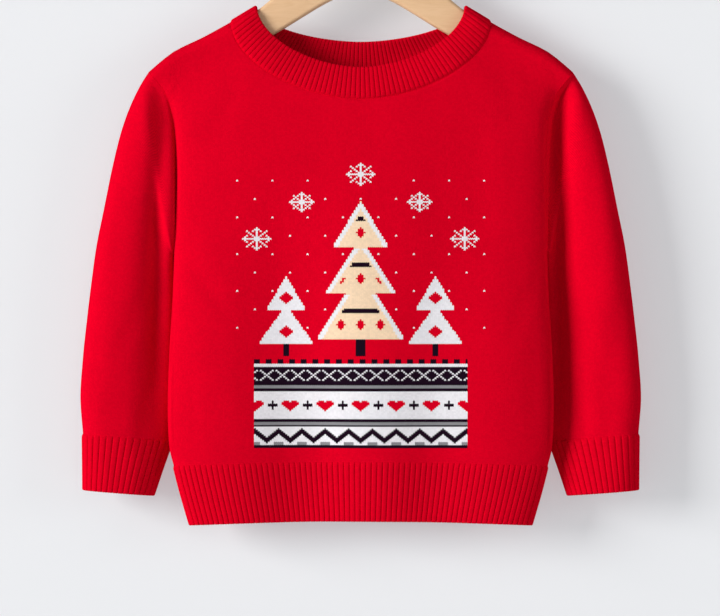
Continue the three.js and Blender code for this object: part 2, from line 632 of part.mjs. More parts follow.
function clothSheets() {
  const front = panelGrid(FRONT);
  const back = panelGrid(BACK);
  const copy = (grid) => grid.map((row) => row.map((p) => p.clone()));
  const sheet = (name, grid, closed, outwards, wall, ribs = null) => {
    const own = copy(grid);
    return { name, grid: own, normals: gridNormals(own, closed, outwards), closed, outwards, wall, ribs };
  };
  const hemRibs = [...between(HEM_COUNTS).toReversed(), ...between(HEM_COUNTS)];
  const cuffRibs = [...between(CUFF_COUNTS).toReversed(), ...between(CUFF_COUNTS)];
  const collarRibs = [...between(COLLAR_COUNTS), ...between(COLLAR_COUNTS).toReversed()];
  const sheets = [
    sheet("front_panel", front, false, 1, CLOTH),
    sheet("back_panel", back, false, -1, CLOTH),
    sheet("sleeve_right", sleeveGrid(-1), true, -1, CLOTH),
    sheet("sleeve_left", sleeveGrid(1), true, 1, CLOTH),
    sheet("cuff_right", cuffGrid(-1), true, -1, RIB_WALL, cuffRibs),
    sheet("cuff_left", cuffGrid(1), true, 1, RIB_WALL, cuffRibs),
    sheet("hem_front", hemGrid(FRONT, front), false, 1, RIB_WALL, hemRibs),
    sheet("hem_back", hemGrid(BACK, back), false, -1, RIB_WALL, hemRibs),
    sheet("collar", collarGrid(), true, 1, RIB_WALL, [...collarRibs, ...collarRibs]),
  ];
  shareNormals(sheets);
  sheets.forEach(insetEdges);
  return sheets.map((each) => (each.ribs ? ribbed(each) : each));
}

const redKnit = new THREE.MeshStandardMaterial({ color: 0xd2061e, roughness: 0.9, metalness: 0 });
const redRib = new THREE.MeshStandardMaterial({ color: 0xc4051b, roughness: 0.92, metalness: 0 });
const beech = new THREE.MeshStandardMaterial({ color: 0xdcb68c, roughness: 0.5, metalness: 0 });
const steel = new THREE.MeshStandardMaterial({ color: 0xc4c6c8, roughness: 0.25, metalness: 1 });

function named(name, geometry, material) {
  const mesh = new THREE.Mesh(geometry, material);
  mesh.name = name;
  return mesh;
}

const garment = new THREE.Group();
for (const sheet of clothSheets()) {
  garment.add(named(sheet.name, wallGeometry(sheet), sheet.ribs ? redRib : redKnit));
}
garment.add(named("hanger_board", await hangerGeometry(), beech));
garment.add(named("hanger_hook", hookGeometry(), steel));

export default garment;
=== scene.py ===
"""The looks of a child's red knitted pullover on its wooden hanger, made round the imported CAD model.

The cloth is worked out in millimetres, as in the part's source, and made in metres. "drop" is how far
a point lies below the tips of the collar. The front faces -Y and the wearer's left side is +X.
"""

import math

import bmesh
import bpy
import numpy as np
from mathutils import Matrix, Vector


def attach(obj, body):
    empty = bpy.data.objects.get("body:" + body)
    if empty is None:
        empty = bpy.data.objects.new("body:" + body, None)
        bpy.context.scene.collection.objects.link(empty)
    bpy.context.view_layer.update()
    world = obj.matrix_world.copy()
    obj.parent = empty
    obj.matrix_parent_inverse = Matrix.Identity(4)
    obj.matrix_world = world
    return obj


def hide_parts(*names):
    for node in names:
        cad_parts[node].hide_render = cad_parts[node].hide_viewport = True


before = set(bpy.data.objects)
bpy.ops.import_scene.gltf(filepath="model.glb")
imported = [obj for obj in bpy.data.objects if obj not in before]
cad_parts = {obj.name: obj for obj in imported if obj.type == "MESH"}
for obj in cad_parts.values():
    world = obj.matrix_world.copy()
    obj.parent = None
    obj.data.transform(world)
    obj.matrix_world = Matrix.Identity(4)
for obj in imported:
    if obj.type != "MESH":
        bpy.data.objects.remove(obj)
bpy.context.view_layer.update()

MM = 0.001
FRONT, BACK = -1, 1
COLLAR_TIP_Z = -115.0
CLOTH = 2.0  # wall of the plain knit
RIB_WALL = 2.2  # wall of the ribbed knit, without the ribs
RIB_HEIGHT = 1.1
RIB_INSIDE = 0.7  # height of the ribs on the inner side
RIB_STARTS = 2.2  # how far from a seam the ribs have their full height
RIB_CROWN, RIB_FALL = 3.2, 0.6  # how flat a rib's crest is, and how steep its sides are
DIMPLE, DIMPLE_WIDTH = 0.12, 0.2  # the shallow dip between a rib's two stitches
EDGE_TURNS = (25, 50, 75, 90, 105, 130, 155)  # degrees, round a free edge of the cloth
EDGE_PROUD = 0.8  # how far such an edge stands out, in halves of the wall
SEAM_SINK = 0.45  # how far the cloth dips into a seam, and how far from it the dip reaches
SEAM_REACH = 1.1
WALE = 1.6  # width of a stitch of the plain knit
COURSE = 1.25  # height of a stitch
STITCH_SINK = 0.45  # how deep a seam's stitches lie in the cloth
RIB_STITCHES = 3  # two knit stitches on a rib and one purl stitch between ribs
YARN_RELIEF = 0.22  # how high the bump of a stitch stands
CHART_FOOT_DROP = 361.5
GIRTH_DROP = 250.0  # where the body's stitches are counted round

# The body: drop, half the width, y of the side edge, depth of the front and depth of the back.
BODY = np.array([
    (0, 173, 0, 9, 9),
    (54.5, 173, 0, 17, 13),
    (63, 166.5, 0, 18, 13.5),
    (70.5, 160.7, 0, 18.5, 14),
    (83.5, 155.8, 0, 19.5, 15),
    (98, 152.9, 0, 20.5, 16),
    (118, 151.6, 0, 21.5, 17),
    (150, 151.2, 0, 23, 18),
    (200, 152, -1, 24, 20),
    (240, 153.3, -4, 23, 23),
    (280, 155.7, -4.5, 23, 24),
    (320, 157.2, -4.5, 22.5, 24),
    (347, 156.9, -4, 21.5, 22.5),
    (364, 155.5, -3.5, 20.5, 21),
    (376.5, 152.4, -3, 19.5, 19.5),
    (397.5, 147.1, -2, 18, 17),
    (425.5, 139.1, -1, 16.5, 15),
])
HALF_WIDTH, SIDE_Y = 1, 2
DEPTH = {FRONT: 3, BACK: 4}
SHOULDER_DROP = 54.5
UNDERARM_DROP = 200.0
HEM_TOP_DROP = 376.5
HEM_DROP = 425.5
HEM_RISE = 3.3
ARMHOLE_FULL = {FRONT: 4, BACK: 12}
BODY_SQUARENESS = 2.9  # of its cross-section, and how tightly its sides roll round
BODY_ROLL = 0.4
EDGE_ONLY = 14  # the higher, the less the armhole's round ends reach into the panels

# The crest of the shoulders over the hanger: x and drop.
RIDGE = np.array([
    (70, -9),
    (84.8, 1),
    (106.6, 14.1),
    (128.7, 26.2),
    (151.7, 37.4),
    (162.4, 45.3),
    (173, 54.5),
])
SHOULDER_X = RIDGE[-1, 0]
CAP_R = 8.6  # the radius of the cloth's bend over that crest
FULL_CHEST = 60.0  # how far below the crest the body has its full depth

# The neck seam and the collar's rim: from their crest they fall so far at the front and at the back.
NECK = {"half_width": 106.6, "top": 14.1, FRONT: 63.0, BACK: 38.0}
RIM = {"half_width": 84.8, "top": 1.0, FRONT: 49.8, BACK: 27.7}
NECK_POWER = 1.8
RIM_DEPTH = {FRONT: 14, BACK: 12}
COLLAR_BULGE = 1.6

# The share of a ribbed band's height that its rounded free edge takes.
ROUND_END = {"hem": 0.025, "cuff": 0.05, "collar": 0.1}

# Ribs in half a hem, round the front of a cuff and in a quarter of the collar, and which rib of the
# collar stands over each rib of the hem.
HEM_RIBS, CUFF_RIBS, COLLAR_RIBS = 35, 16, 33
HEM_COLUMNS = (0, 4, 8, 12, 16, 19, 22, 25, 27, 29, 31, 33, 34, 35)
COLLAR_COLUMNS = (33, 26, 20, 14, 8, 4, 2, 1, 0)

# A sleeve's cross-sections: outer edge x, drop and y, inner edge x, drop and y, front and back depth.
SLEEVE = np.array([
    (180.3, 66.4, 0.5, 154.2, 202.5, 2.5, 17, 13),
    (188.3, 83, 1, 154, 206.5, 6, 18, 14),
    (195.5, 103.2, 1.5, 153.4, 211.5, 9, 19, 15),
    (202.5, 131.2, 2, 152.6, 218, 11.5, 20, 16),
    (209.9, 167.3, 2.5, 151.6, 227, 13.5, 21, 17),
    (216, 197.6, 3, 150.6, 239, 15, 21.5, 17),
    (220.1, 227, 3.5, 150, 255, 16, 21.5, 17),
    (223.8, 257.5, 4, 149.6, 277, 16.5, 21, 17),
    (227.1, 289, 4, 149.4, 302, 17, 20.5, 17),
    (229.1, 320.6, 4, 150.6, 329, 16.5, 19.5, 16.5),
    (227, 350.6, 4, 156, 356.5, 13.5, 18, 15.5),
])
CUFF = np.array([
    SLEEVE[-1],
    (226.7, 373, 4, 163.6, 378, 9, 16.5, 14.5),
    (226.5, 397, 4, 171.4, 401.5, 7, 15.5, 13.5),
])
SLEEVE_SQUARENESS = 2.2
TROUGHS_START = 0.22  # of the way to the first cross-section, where the troughs are full

# Soft troughs down the cloth: face, x and drop where each starts, x and drop where it ends, depth and
# half-width. A ridge has a depth below 0. The sleeves' are listed by side, with x counted outwards.
BODY_TROUGHS = [
    (FRONT, -70, 130, -28, 600, 12, 42),
    (FRONT, 58, 200, 66, 620, 7, 34),
    (FRONT, 86, 50, 74, 330, 3.5, 34),
    (BACK, -92, 120, -84, 425, 4, 21),
    (BACK, 98, 150, 106, 420, 4.6, 18),
    (BACK, 12, 90, 6, 330, 2.4, 24),
]
BODY_CREASES = [
    (FRONT, -150, 196, -104, 262, 1.2, 9),
    (FRONT, 151, 205, 118, 285, 1.1, 9),
    (FRONT, -142, 268, -137, 372, 0.8, 8),
    (FRONT, -96, 190, -88, 372, 0.5, 13),
    (FRONT, -22, 300, -40, 420, 0.6, 11),
    (FRONT, 28, 120, 20, 300, 0.3, 14),
    (FRONT, 96, 90, 104, 215, 0.7, 13),
    (FRONT, 139, 250, 141, 368, 0.9, 7),
    (FRONT, -96, 48, -128, 130, 0.8, 11),
    (FRONT, 108, 44, 136, 112, 0.7, 10),
    (BACK, -148, 205, -112, 290, 1.2, 10),
    (BACK, 149, 198, 108, 280, 1.3, 9),
    (BACK, -44, 150, -52, 372, 0.8, 12),
    (BACK, 54, 110, 46, 300, 0.7, 13),
    (BACK, 138, 270, 134, 370, 0.8, 8),
    (BACK, -134, 250, -139, 366, 0.7, 8),
    (BACK, -100, 46, -126, 124, 0.8, 11),
    (BACK, 112, 44, 130, 120, 0.7, 10),
]
SLEEVE_TROUGHS = {
    -1: [
        (FRONT, 165, 30, 168, 320, 6, 7.5),
        (FRONT, 169, 150, 168, 430, 4.5, 13),
        (FRONT, 152, 90, 152, 270, -5, 8),
        (FRONT, 205, 290, 196, 440, 0.9, 12),
        (BACK, 178, 90, 182, 330, 6, 11),
        (FRONT, 194, 110, 203, 260, 0.9, 9),
        (FRONT, 214, 180, 219, 330, 0.7, 7),
        (FRONT, 171, 300, 184, 372, 1.1, 7),
        (FRONT, 176, 228, 200, 296, 0.8, 8),
        (BACK, 200, 120, 207, 280, 1.0, 9),
        (BACK, 172, 290, 186, 370, 1.0, 8),
        (BACK, 212, 240, 216, 360, 0.8, 8),
    ],
    1: [
        (FRONT, 162, 25, 160, 440, 12, 12),
        (FRONT, 175, 40, 175, 450, 7, 19),
        (FRONT, 166, 20, 160, 240, 6, 9),
        (FRONT, 207, 235, 200, 390, 2.6, 12),
        (BACK, 176, 95, 186, 350, 6.5, 12),
        (FRONT, 190, 120, 198, 250, 0.8, 9),
        (FRONT, 213, 170, 217, 310, 0.8, 8),
        (FRONT, 175, 306, 188, 372, 1.0, 7),
        (FRONT, 180, 236, 196, 310, 0.6, 8),
        (BACK, 198, 130, 208, 260, 1.1, 9),
        (BACK, 170, 280, 182, 368, 0.9, 8),
        (BACK, 214, 220, 218, 350, 0.7, 8),
    ],
}

BOARD = 12.0
BOARD_ROUND = 3.0
BOARD_END_X = 157.0
HANGER_LOWER = [(0, -13), (26, -3.5), (69.5, 22.5), (110, 44), (145, 59)]
HANGER_UPPER = [(0, -56), (16, -53.5), (40, -38), (64, -14)]
HANGER_BELOW_RIDGE = 2.8
HANGER_RIDGE_XS = (84.8, 106.6, 128.7, 148)
WIRE_R = 1.75
HOOK_R = 20.0
SWAN_R = 12.0
HOOK_TIP = math.radians(205)
SHANK_IN_WOOD = 22.0

# How finely each piece is divided.
HALF_PANEL_COLUMNS = 70
LOWER_ROWS = 78
ARMHOLE_ROWS = 80
SLEEVE_ROWS = 116
CUFF_ROWS = 30
HEM_ROWS = 26
COLLAR_ROWS = 18
BOARD_POINTS = 60
RIB_PLACES = (0, 0.07, 0.17, 0.33, 0.5, 0.67, 0.83, 0.93)  # over the width of one rib
CLOTH_EDGE = math.radians(60)  # from this angle an edge of the cloth shows as sharp
HARD_EDGE = math.radians(35)  # and from this one an edge of the hanger

# Yarn colours, and the finish of the hanger.
RED = (0.655, 0.0003, 0.0140)
RIB_RED = (0.62, 0.0003, 0.0125)
CREAM = (0.88, 0.66, 0.45)
WHITE = (0.80, 0.79, 0.82)
NAVY = (0.0035, 0.004, 0.011)
GREY = (0.24, 0.245, 0.26)
BEECH = (0.67, 0.43, 0.24)
BEECH_DARK = (0.54, 0.31, 0.145)
STEEL = (0.62, 0.62, 0.64)
WALL_PAINT = (0.41, 0.415, 0.42)
# the wall's own glow, a painted light that keeps the garment's shadows on the wall pale
WALL_GLOW = (0.36, 0.365, 0.38)
FLOOR_PAINT = (0.8, 0.8, 0.81)

# The photograph's view: a pixel is this many millimetres at the middle of the garment.
PIXEL = 0.82
IMAGE = (720, 616)
VIEW_CENTRE = (-0.6, -362.6)  # x and z
VIEW_DISTANCE = 3600.0
WALL_Y = 31.0
WALL_REACH = 6000.0  # to either side
WALL_TOP = 3000.0
FLOOR_Z = -1200.0
FLOOR_REACH = 15000.0

# The lights: where they stand and how wide they are, in metres, and their level. At level 1 a surface
# that faces a light shows its own colour.
LIGHTS = {
    "daylight": ((-8.8, -4.9, 1.9), 4.2, 1.36),
    "side_light": ((3.6, -1.9, 0.3), 1.6, 0.25),
    "front_light": ((0.4, -4.6, 0.5), 2.4, 0.07),
    "back_light": ((0.9, 1.9, 0.5), 1.4, 0.35),
}
ROOM_LEVEL = 0.13


def smooth(t):
    """A soft step from 0 to 1."""
    t = np.clip(t, 0, 1)
    return t * t * (3 - 2 * t)


def curve(table, column, at):
    """One column of a table at places of its first column, on a smooth curve through its rows."""
    xs, ys = table[:, 0], table[:, column]
    last = len(xs) - 1
    k = np.arange(last + 1)
    before, after = np.maximum(k - 1, 0), np.minimum(k + 1, last)
    slope = (ys[after] - ys[before]) / (xs[after] - xs[before])
    held = np.clip(at, xs[0], xs[-1])
    i = np.clip(np.searchsorted(xs, held, side="right") - 1, 0, last - 1)
    width = xs[i + 1] - xs[i]
    t = (held - xs[i]) / width
    rise = ys[i + 1] - ys[i]
    bend = width * ((1 - t) * slope[i] - t * slope[i + 1]) + (2 * t - 1) * rise
    return ys[i] + rise * t + t * (1 - t) * bend


def lens(t, power):
    """A round-ended profile over 0 to 1: 0 at both ends and 1 in the middle."""
    return (1 - np.abs(2 * np.clip(t, 0, 1) - 1) ** power) ** (1 / power)


def evenly(line, shares, steps=400):
    """The parameters, from 0 to 1, at which a line has covered each given share of its length."""
    ts = np.linspace(0, 1, steps + 1)
    reach = np.concatenate([[0], np.cumsum(np.linalg.norm(np.diff(line(ts), axis=0), axis=1))])
    return np.interp(np.asarray(shares) * reach[-1], reach, ts)


def points(x, y, drop):
    """Points of the cloth, from x, y and drop."""
    return np.stack(np.broadcast_arrays(x, y, COLLAR_TIP_Z - drop), -1).astype(float)


def trough_depth(troughs, face, x, drop):
    """How deep the troughs of one face are at a point. Each fades towards both of its ends."""
    depth = 0.0
    for own_face, top_x, top_drop, end_x, end_drop, deep, half in troughs:
        if own_face == face:
            along = np.clip((drop - top_drop) / (end_drop - top_drop), 0, 1)
            away = (x - (top_x + (end_x - top_x) * along)) / half
            depth = depth + deep * np.sin(math.pi * along) ** 0.8 * np.exp(-away * away)
    return depth


def ridge_cap(x, drop):
    """How far below the crest of the shoulders a point lies, and how far the cloth has bent over it."""
    below = np.maximum(0, drop - curve(RIDGE, 1, np.abs(x)))
    return below, np.sqrt(1 - (1 - np.minimum(1, below / CAP_R)) ** 2)


def body_y(face, x, drop, troughs=BODY_TROUGHS + BODY_CREASES):
    """Y of the body's front or back at a point seen from the front."""
    across = np.minimum(1, np.abs(x) / curve(BODY, HALF_WIDTH, drop))
    up_armhole = (UNDERARM_DROP - drop) / (UNDERARM_DROP - SHOULDER_DROP)
    edge = ARMHOLE_FULL[face] * lens(up_armhole, 2)
    within = ARMHOLE_FULL[face] * np.sin(math.pi * np.clip(up_armhole, 0, 1)) ** 2
    edge = within + (edge - within) * across**EDGE_ONLY
    dome = (1 - across**BODY_SQUARENESS) ** BODY_ROLL
    full = edge + (curve(BODY, DEPTH[face], drop) - edge) * dome
    below, cap = ridge_cap(x, drop)
    bent = CAP_R * cap + smooth(below / FULL_CHEST) * (full - CAP_R)
    return curve(BODY, SIDE_Y, drop) + face * (bent - dome * trough_depth(troughs, face, x, drop))


def hem_seam_line(share):
    """The front's lower edge, from the middle (0) to the side (1)."""
    x = share * curve(BODY, HALF_WIDTH, HEM_TOP_DROP)
    return points(x, body_y(FRONT, x, HEM_TOP_DROP, BODY_TROUGHS), HEM_TOP_DROP)


def hem_share(ribs):
    """The share of the half-width at which the body has that many ribs beside its middle."""
    turn = evenly(lambda t: hem_seam_line(np.sin(math.pi / 2 * t)), np.asarray(ribs) / HEM_RIBS)
    return np.sin(math.pi / 2 * turn)


def neck_line(ring, face, side, t):
    """The neck seam or the rim, from the crest of the shoulder (0) down to the middle (1)."""
    turn = math.pi / 2 * np.asarray(t)
    x = ring["half_width"] * np.maximum(0, np.cos(turn)) ** (2 / NECK_POWER)
    drop = ring["top"] + ring[face] * np.sin(turn) ** (2 / NECK_POWER)
    if ring is NECK:
        return points(side * x, body_y(face, side * x, drop), drop)
    _, cap = ridge_cap(x, drop)
    y = face * (CAP_R * cap + (RIM_DEPTH[face] - CAP_R) * smooth(t))
    return points(side * x, y, drop)


def neck_quarter(ring, face, side, ribs):
    """Points of a quarter of the neck seam or the rim, so many ribs from the crest of the shoulder."""
    ts = evenly(lambda t: neck_line(ring, face, side, t), np.asarray(ribs) / COLLAR_RIBS)
    return neck_line(ring, face, side, ts)


def armhole_ups():
    """Shares of the way up the armhole, closer together at both of its ends."""
    t = np.linspace(0, 1, ARMHOLE_ROWS + 1)
    return 0.3 * t + 0.7 * (1 - np.cos(math.pi * t)) / 2


def panel_grid(face):
    """The middle of the front or back, rows from the hem up and columns from -X to +X."""
    ribs = np.linspace(-HEM_RIBS, HEM_RIBS, 2 * HALF_PANEL_COLUMNS + 1)
    side, ribs = np.sign(ribs), np.abs(ribs)
    share = hem_share(ribs)
    even = np.interp(ribs, HEM_COLUMNS, np.arange(len(HEM_COLUMNS))) / (len(HEM_COLUMNS) - 1)
    neck_ribs = np.interp(ribs, HEM_COLUMNS[: len(COLLAR_COLUMNS)], COLLAR_COLUMNS)
    neck = neck_quarter(NECK, face, 1, neck_ribs)
    shoulder_start = (len(COLLAR_COLUMNS) - 1) / (len(HEM_COLUMNS) - 1)
    out = (even - shoulder_start) / (1 - shoulder_start)
    shoulder_x = NECK["half_width"] + out * (SHOULDER_X - NECK["half_width"])
    top_x = np.where(out > 0, shoulder_x, neck[:, 0])
    top_drop = np.where(out > 0, curve(RIDGE, 1, shoulder_x), COLLAR_TIP_Z - neck[:, 2])

    up = np.arange(LOWER_ROWS)[:, None] / LOWER_ROWS
    side_drop = HEM_TOP_DROP + (UNDERARM_DROP - HEM_TOP_DROP) * up
    drop = side_drop - HEM_RISE * (1 - share**2) * (1 - up)
    x = side * share * curve(BODY, HALF_WIDTH, side_drop)
    y = np.where(share == 1, curve(BODY, SIDE_Y, side_drop), body_y(face, x, drop))
    lower = points(x, y, drop)

    up = armhole_ups()[:, None]
    edge_x = curve(BODY, HALF_WIDTH, UNDERARM_DROP + (SHOULDER_DROP - UNDERARM_DROP) * up)
    bottom_x = curve(BODY, HALF_WIDTH, UNDERARM_DROP)
    straight = share * bottom_x * (1 - up) + top_x * up
    x = side * (straight + even * (edge_x - (bottom_x * (1 - up) + SHOULDER_X * up)))
    drop = UNDERARM_DROP + (top_drop - UNDERARM_DROP) * up
    return np.concatenate([lower, points(x, body_y(face, x, drop), drop)])


def round_to(up, row, face):
    """How far a sleeve's front or back stands out at a share of the way to its outer edge."""
    return (row[..., 6] if face == FRONT else row[..., 7]) * lens(up, SLEEVE_SQUARENESS)


def cuff_share(ribs):
    """The share of a cuff's width at which its front has that many ribs, from the inner edge."""
    half_turn = lambda t: (1 - np.cos(math.pi * np.asarray(t))) / 2
    row = SLEEVE[-1]
    width = math.hypot(row[0] - row[3], row[1] - row[4])
    line = lambda t: points(half_turn(t) * width, round_to(half_turn(t), row, FRONT), 0)
    return half_turn(evenly(line, np.asarray(ribs) / CUFF_RIBS))


def around(ups):
    """The way round a sleeve: from its inner edge up the back, and down the front. Also which face."""
    faces = np.concatenate([np.full(len(ups), BACK), np.full(len(ups) - 2, FRONT)])
    return np.concatenate([ups, ups[-2:0:-1]]), faces


def sleeve_ring(row, side, up, face):
    """A cross-section of a sleeve or cuff, without its troughs."""
    outer = points(side * row[0], row[2], row[1])
    inner = points(side * row[3], row[5], row[4])
    ring = inner + (outer - inner) * up[:, None]
    ring[:, 1] += face * np.where(face == FRONT, round_to(up, row, FRONT), round_to(up, row, BACK))
    return ring


def armhole_ring(side, up, face):
    """The armhole's own ring, on the edges of the two panels."""
    drop = UNDERARM_DROP + (SHOULDER_DROP - UNDERARM_DROP) * up
    x = curve(BODY, HALF_WIDTH, drop)
    y = np.where(face == FRONT, body_y(FRONT, side * x, drop), body_y(BACK, side * x, drop))
    return points(side * x, np.where((up == 0) | (up == 1), curve(BODY, SIDE_Y, drop), y), drop)


def through(rings, at, held=False):
    """Rings between the given ones, on smooth curves through them. Whole numbers are the rings.

    Curves that are held never swing out beyond the rings on either side.
    """
    stack = np.stack(rings)
    k = np.clip(np.floor(at).astype(int), 0, len(rings) - 2)
    t = (at - k)[:, None, None]
    slope = np.gradient(stack, axis=0)
    if held:
        before, after = np.diff(stack, axis=0)[:-1], np.diff(stack, axis=0)[1:]
        same_way = before * after > 0
        slope[1:-1] = 2 * before * after / np.where(same_way, before + after, np.inf)
    rise = stack[k + 1] - stack[k]
    bend = (1 - t) * slope[k] - t * slope[k + 1] + (2 * t - 1) * rise
    return stack[k] + rise * t + t * (1 - t) * bend


def dented(grid, side, up, face, full):
    """A sleeve with its troughs pressed in. "full" says how far each row has them."""
    drop = COLLAR_TIP_Z - grid[..., 2]
    x = np.abs(grid[..., 0])
    front = trough_depth(SLEEVE_TROUGHS[side], FRONT, x, drop)
    back = trough_depth(SLEEVE_TROUGHS[side], BACK, x, drop)
    depth = np.where(face == FRONT, front, back) * lens(up, SLEEVE_SQUARENESS) * full[:, None]
    moved = grid.copy()
    moved[..., 1] -= face * depth
    return moved


def sleeve_grid(side):
    """The middle of a sleeve, rows from the armhole to the cuff."""
    top_up, face = around(armhole_ups())
    cuff_up, _ = around(cuff_share(np.linspace(0, CUFF_RIBS, ARMHOLE_ROWS + 1)))
    last = len(SLEEVE)
    rings = [armhole_ring(side, top_up, face)]
    for j, row in enumerate(SLEEVE, 1):
        rings.append(sleeve_ring(row, side, top_up + (cuff_up - top_up) * j / last, face))
    at = np.linspace(0, last, SLEEVE_ROWS + 1)
    up = top_up + (cuff_up - top_up) * (at / last)[:, None]
    return dented(through(rings, at, held=True), side, up, face, smooth(at / TROUGHS_START))


def cuff_grid(side, places):
    """The middle of a cuff, with a column at each of the given places, counted in ribs round it."""
    face = np.where(places < CUFF_RIBS, BACK, FRONT)
    up = cuff_share(CUFF_RIBS - np.abs(places - CUFF_RIBS))
    at = np.linspace(0, len(CUFF) - 1 - ROUND_END["cuff"], CUFF_ROWS + 1)
    grid = through([sleeve_ring(row, side, up, face) for row in CUFF], at)
    return dented(grid, side, up, face, np.ones(len(at)))


def hem_grid(face, places):
    """The middle of half a hem, rows from its open edge up and places counted in ribs from its middle."""
    up = np.linspace(ROUND_END["hem"], 1, HEM_ROWS + 1)[:, None]
    share = hem_share(np.abs(places))
    side_drop = HEM_DROP + (HEM_TOP_DROP - HEM_DROP) * up
    drop = side_drop - HEM_RISE * (1 - share**2)
    x = np.sign(places) * share * curve(BODY, HALF_WIDTH, side_drop)
    y = np.where(share == 1, curve(BODY, SIDE_Y, side_drop), body_y(face, x, drop))
    return points(x, y, drop)


def collar_grid(places):
    """The middle of the collar: rows from the neck seam to the rim, places in ribs round it."""
    quarter = COLLAR_RIBS
    sides = [(FRONT, -1), (FRONT, 1), (BACK, 1), (BACK, -1)]
    rings = []
    for ring in (NECK, RIM):
        parts = []
        for k, (face, side) in enumerate(sides):
            own = places[(places >= k * quarter) & (places < (k + 1) * quarter)] - k * quarter
            parts.append(neck_quarter(ring, face, side, own if k % 2 == 0 else quarter - own))
        rings.append(np.concatenate(parts))
    seam, rim = rings
    middle = (seam + rim) / 2
    middle[:, 1] += COLLAR_BULGE * np.tanh(middle[:, 1] / 3)
    return through([seam, middle, rim], np.linspace(0, 2 - ROUND_END["collar"], COLLAR_ROWS + 1))


def rib_places(ribs, start=0, closed=False):
    """The places of a ribbed sheet's columns, counted in ribs."""
    places = start + (np.arange(ribs)[:, None] + np.array(RIB_PLACES)).reshape(-1)
    return places if closed else np.append(places, start + ribs)


def rib_profile(place):
    """The height of a rib over its width: a broad ridge of two stitches and a narrow groove."""
    across = np.abs(2 * (place % 1) - 1)
    return (1 - across**RIB_CROWN) ** RIB_FALL - DIMPLE * np.exp(-((across / DIMPLE_WIDTH) ** 2))


def span_lengths(grid, axis):
    """How far along an axis each point lies from the first one, over the cloth."""
    steps = np.linalg.norm(np.diff(grid, axis=axis), axis=2)
    start = np.zeros_like(np.take(steps, [0], axis=axis))
    return np.cumsum(np.concatenate([start, steps], axis=axis), axis=axis)


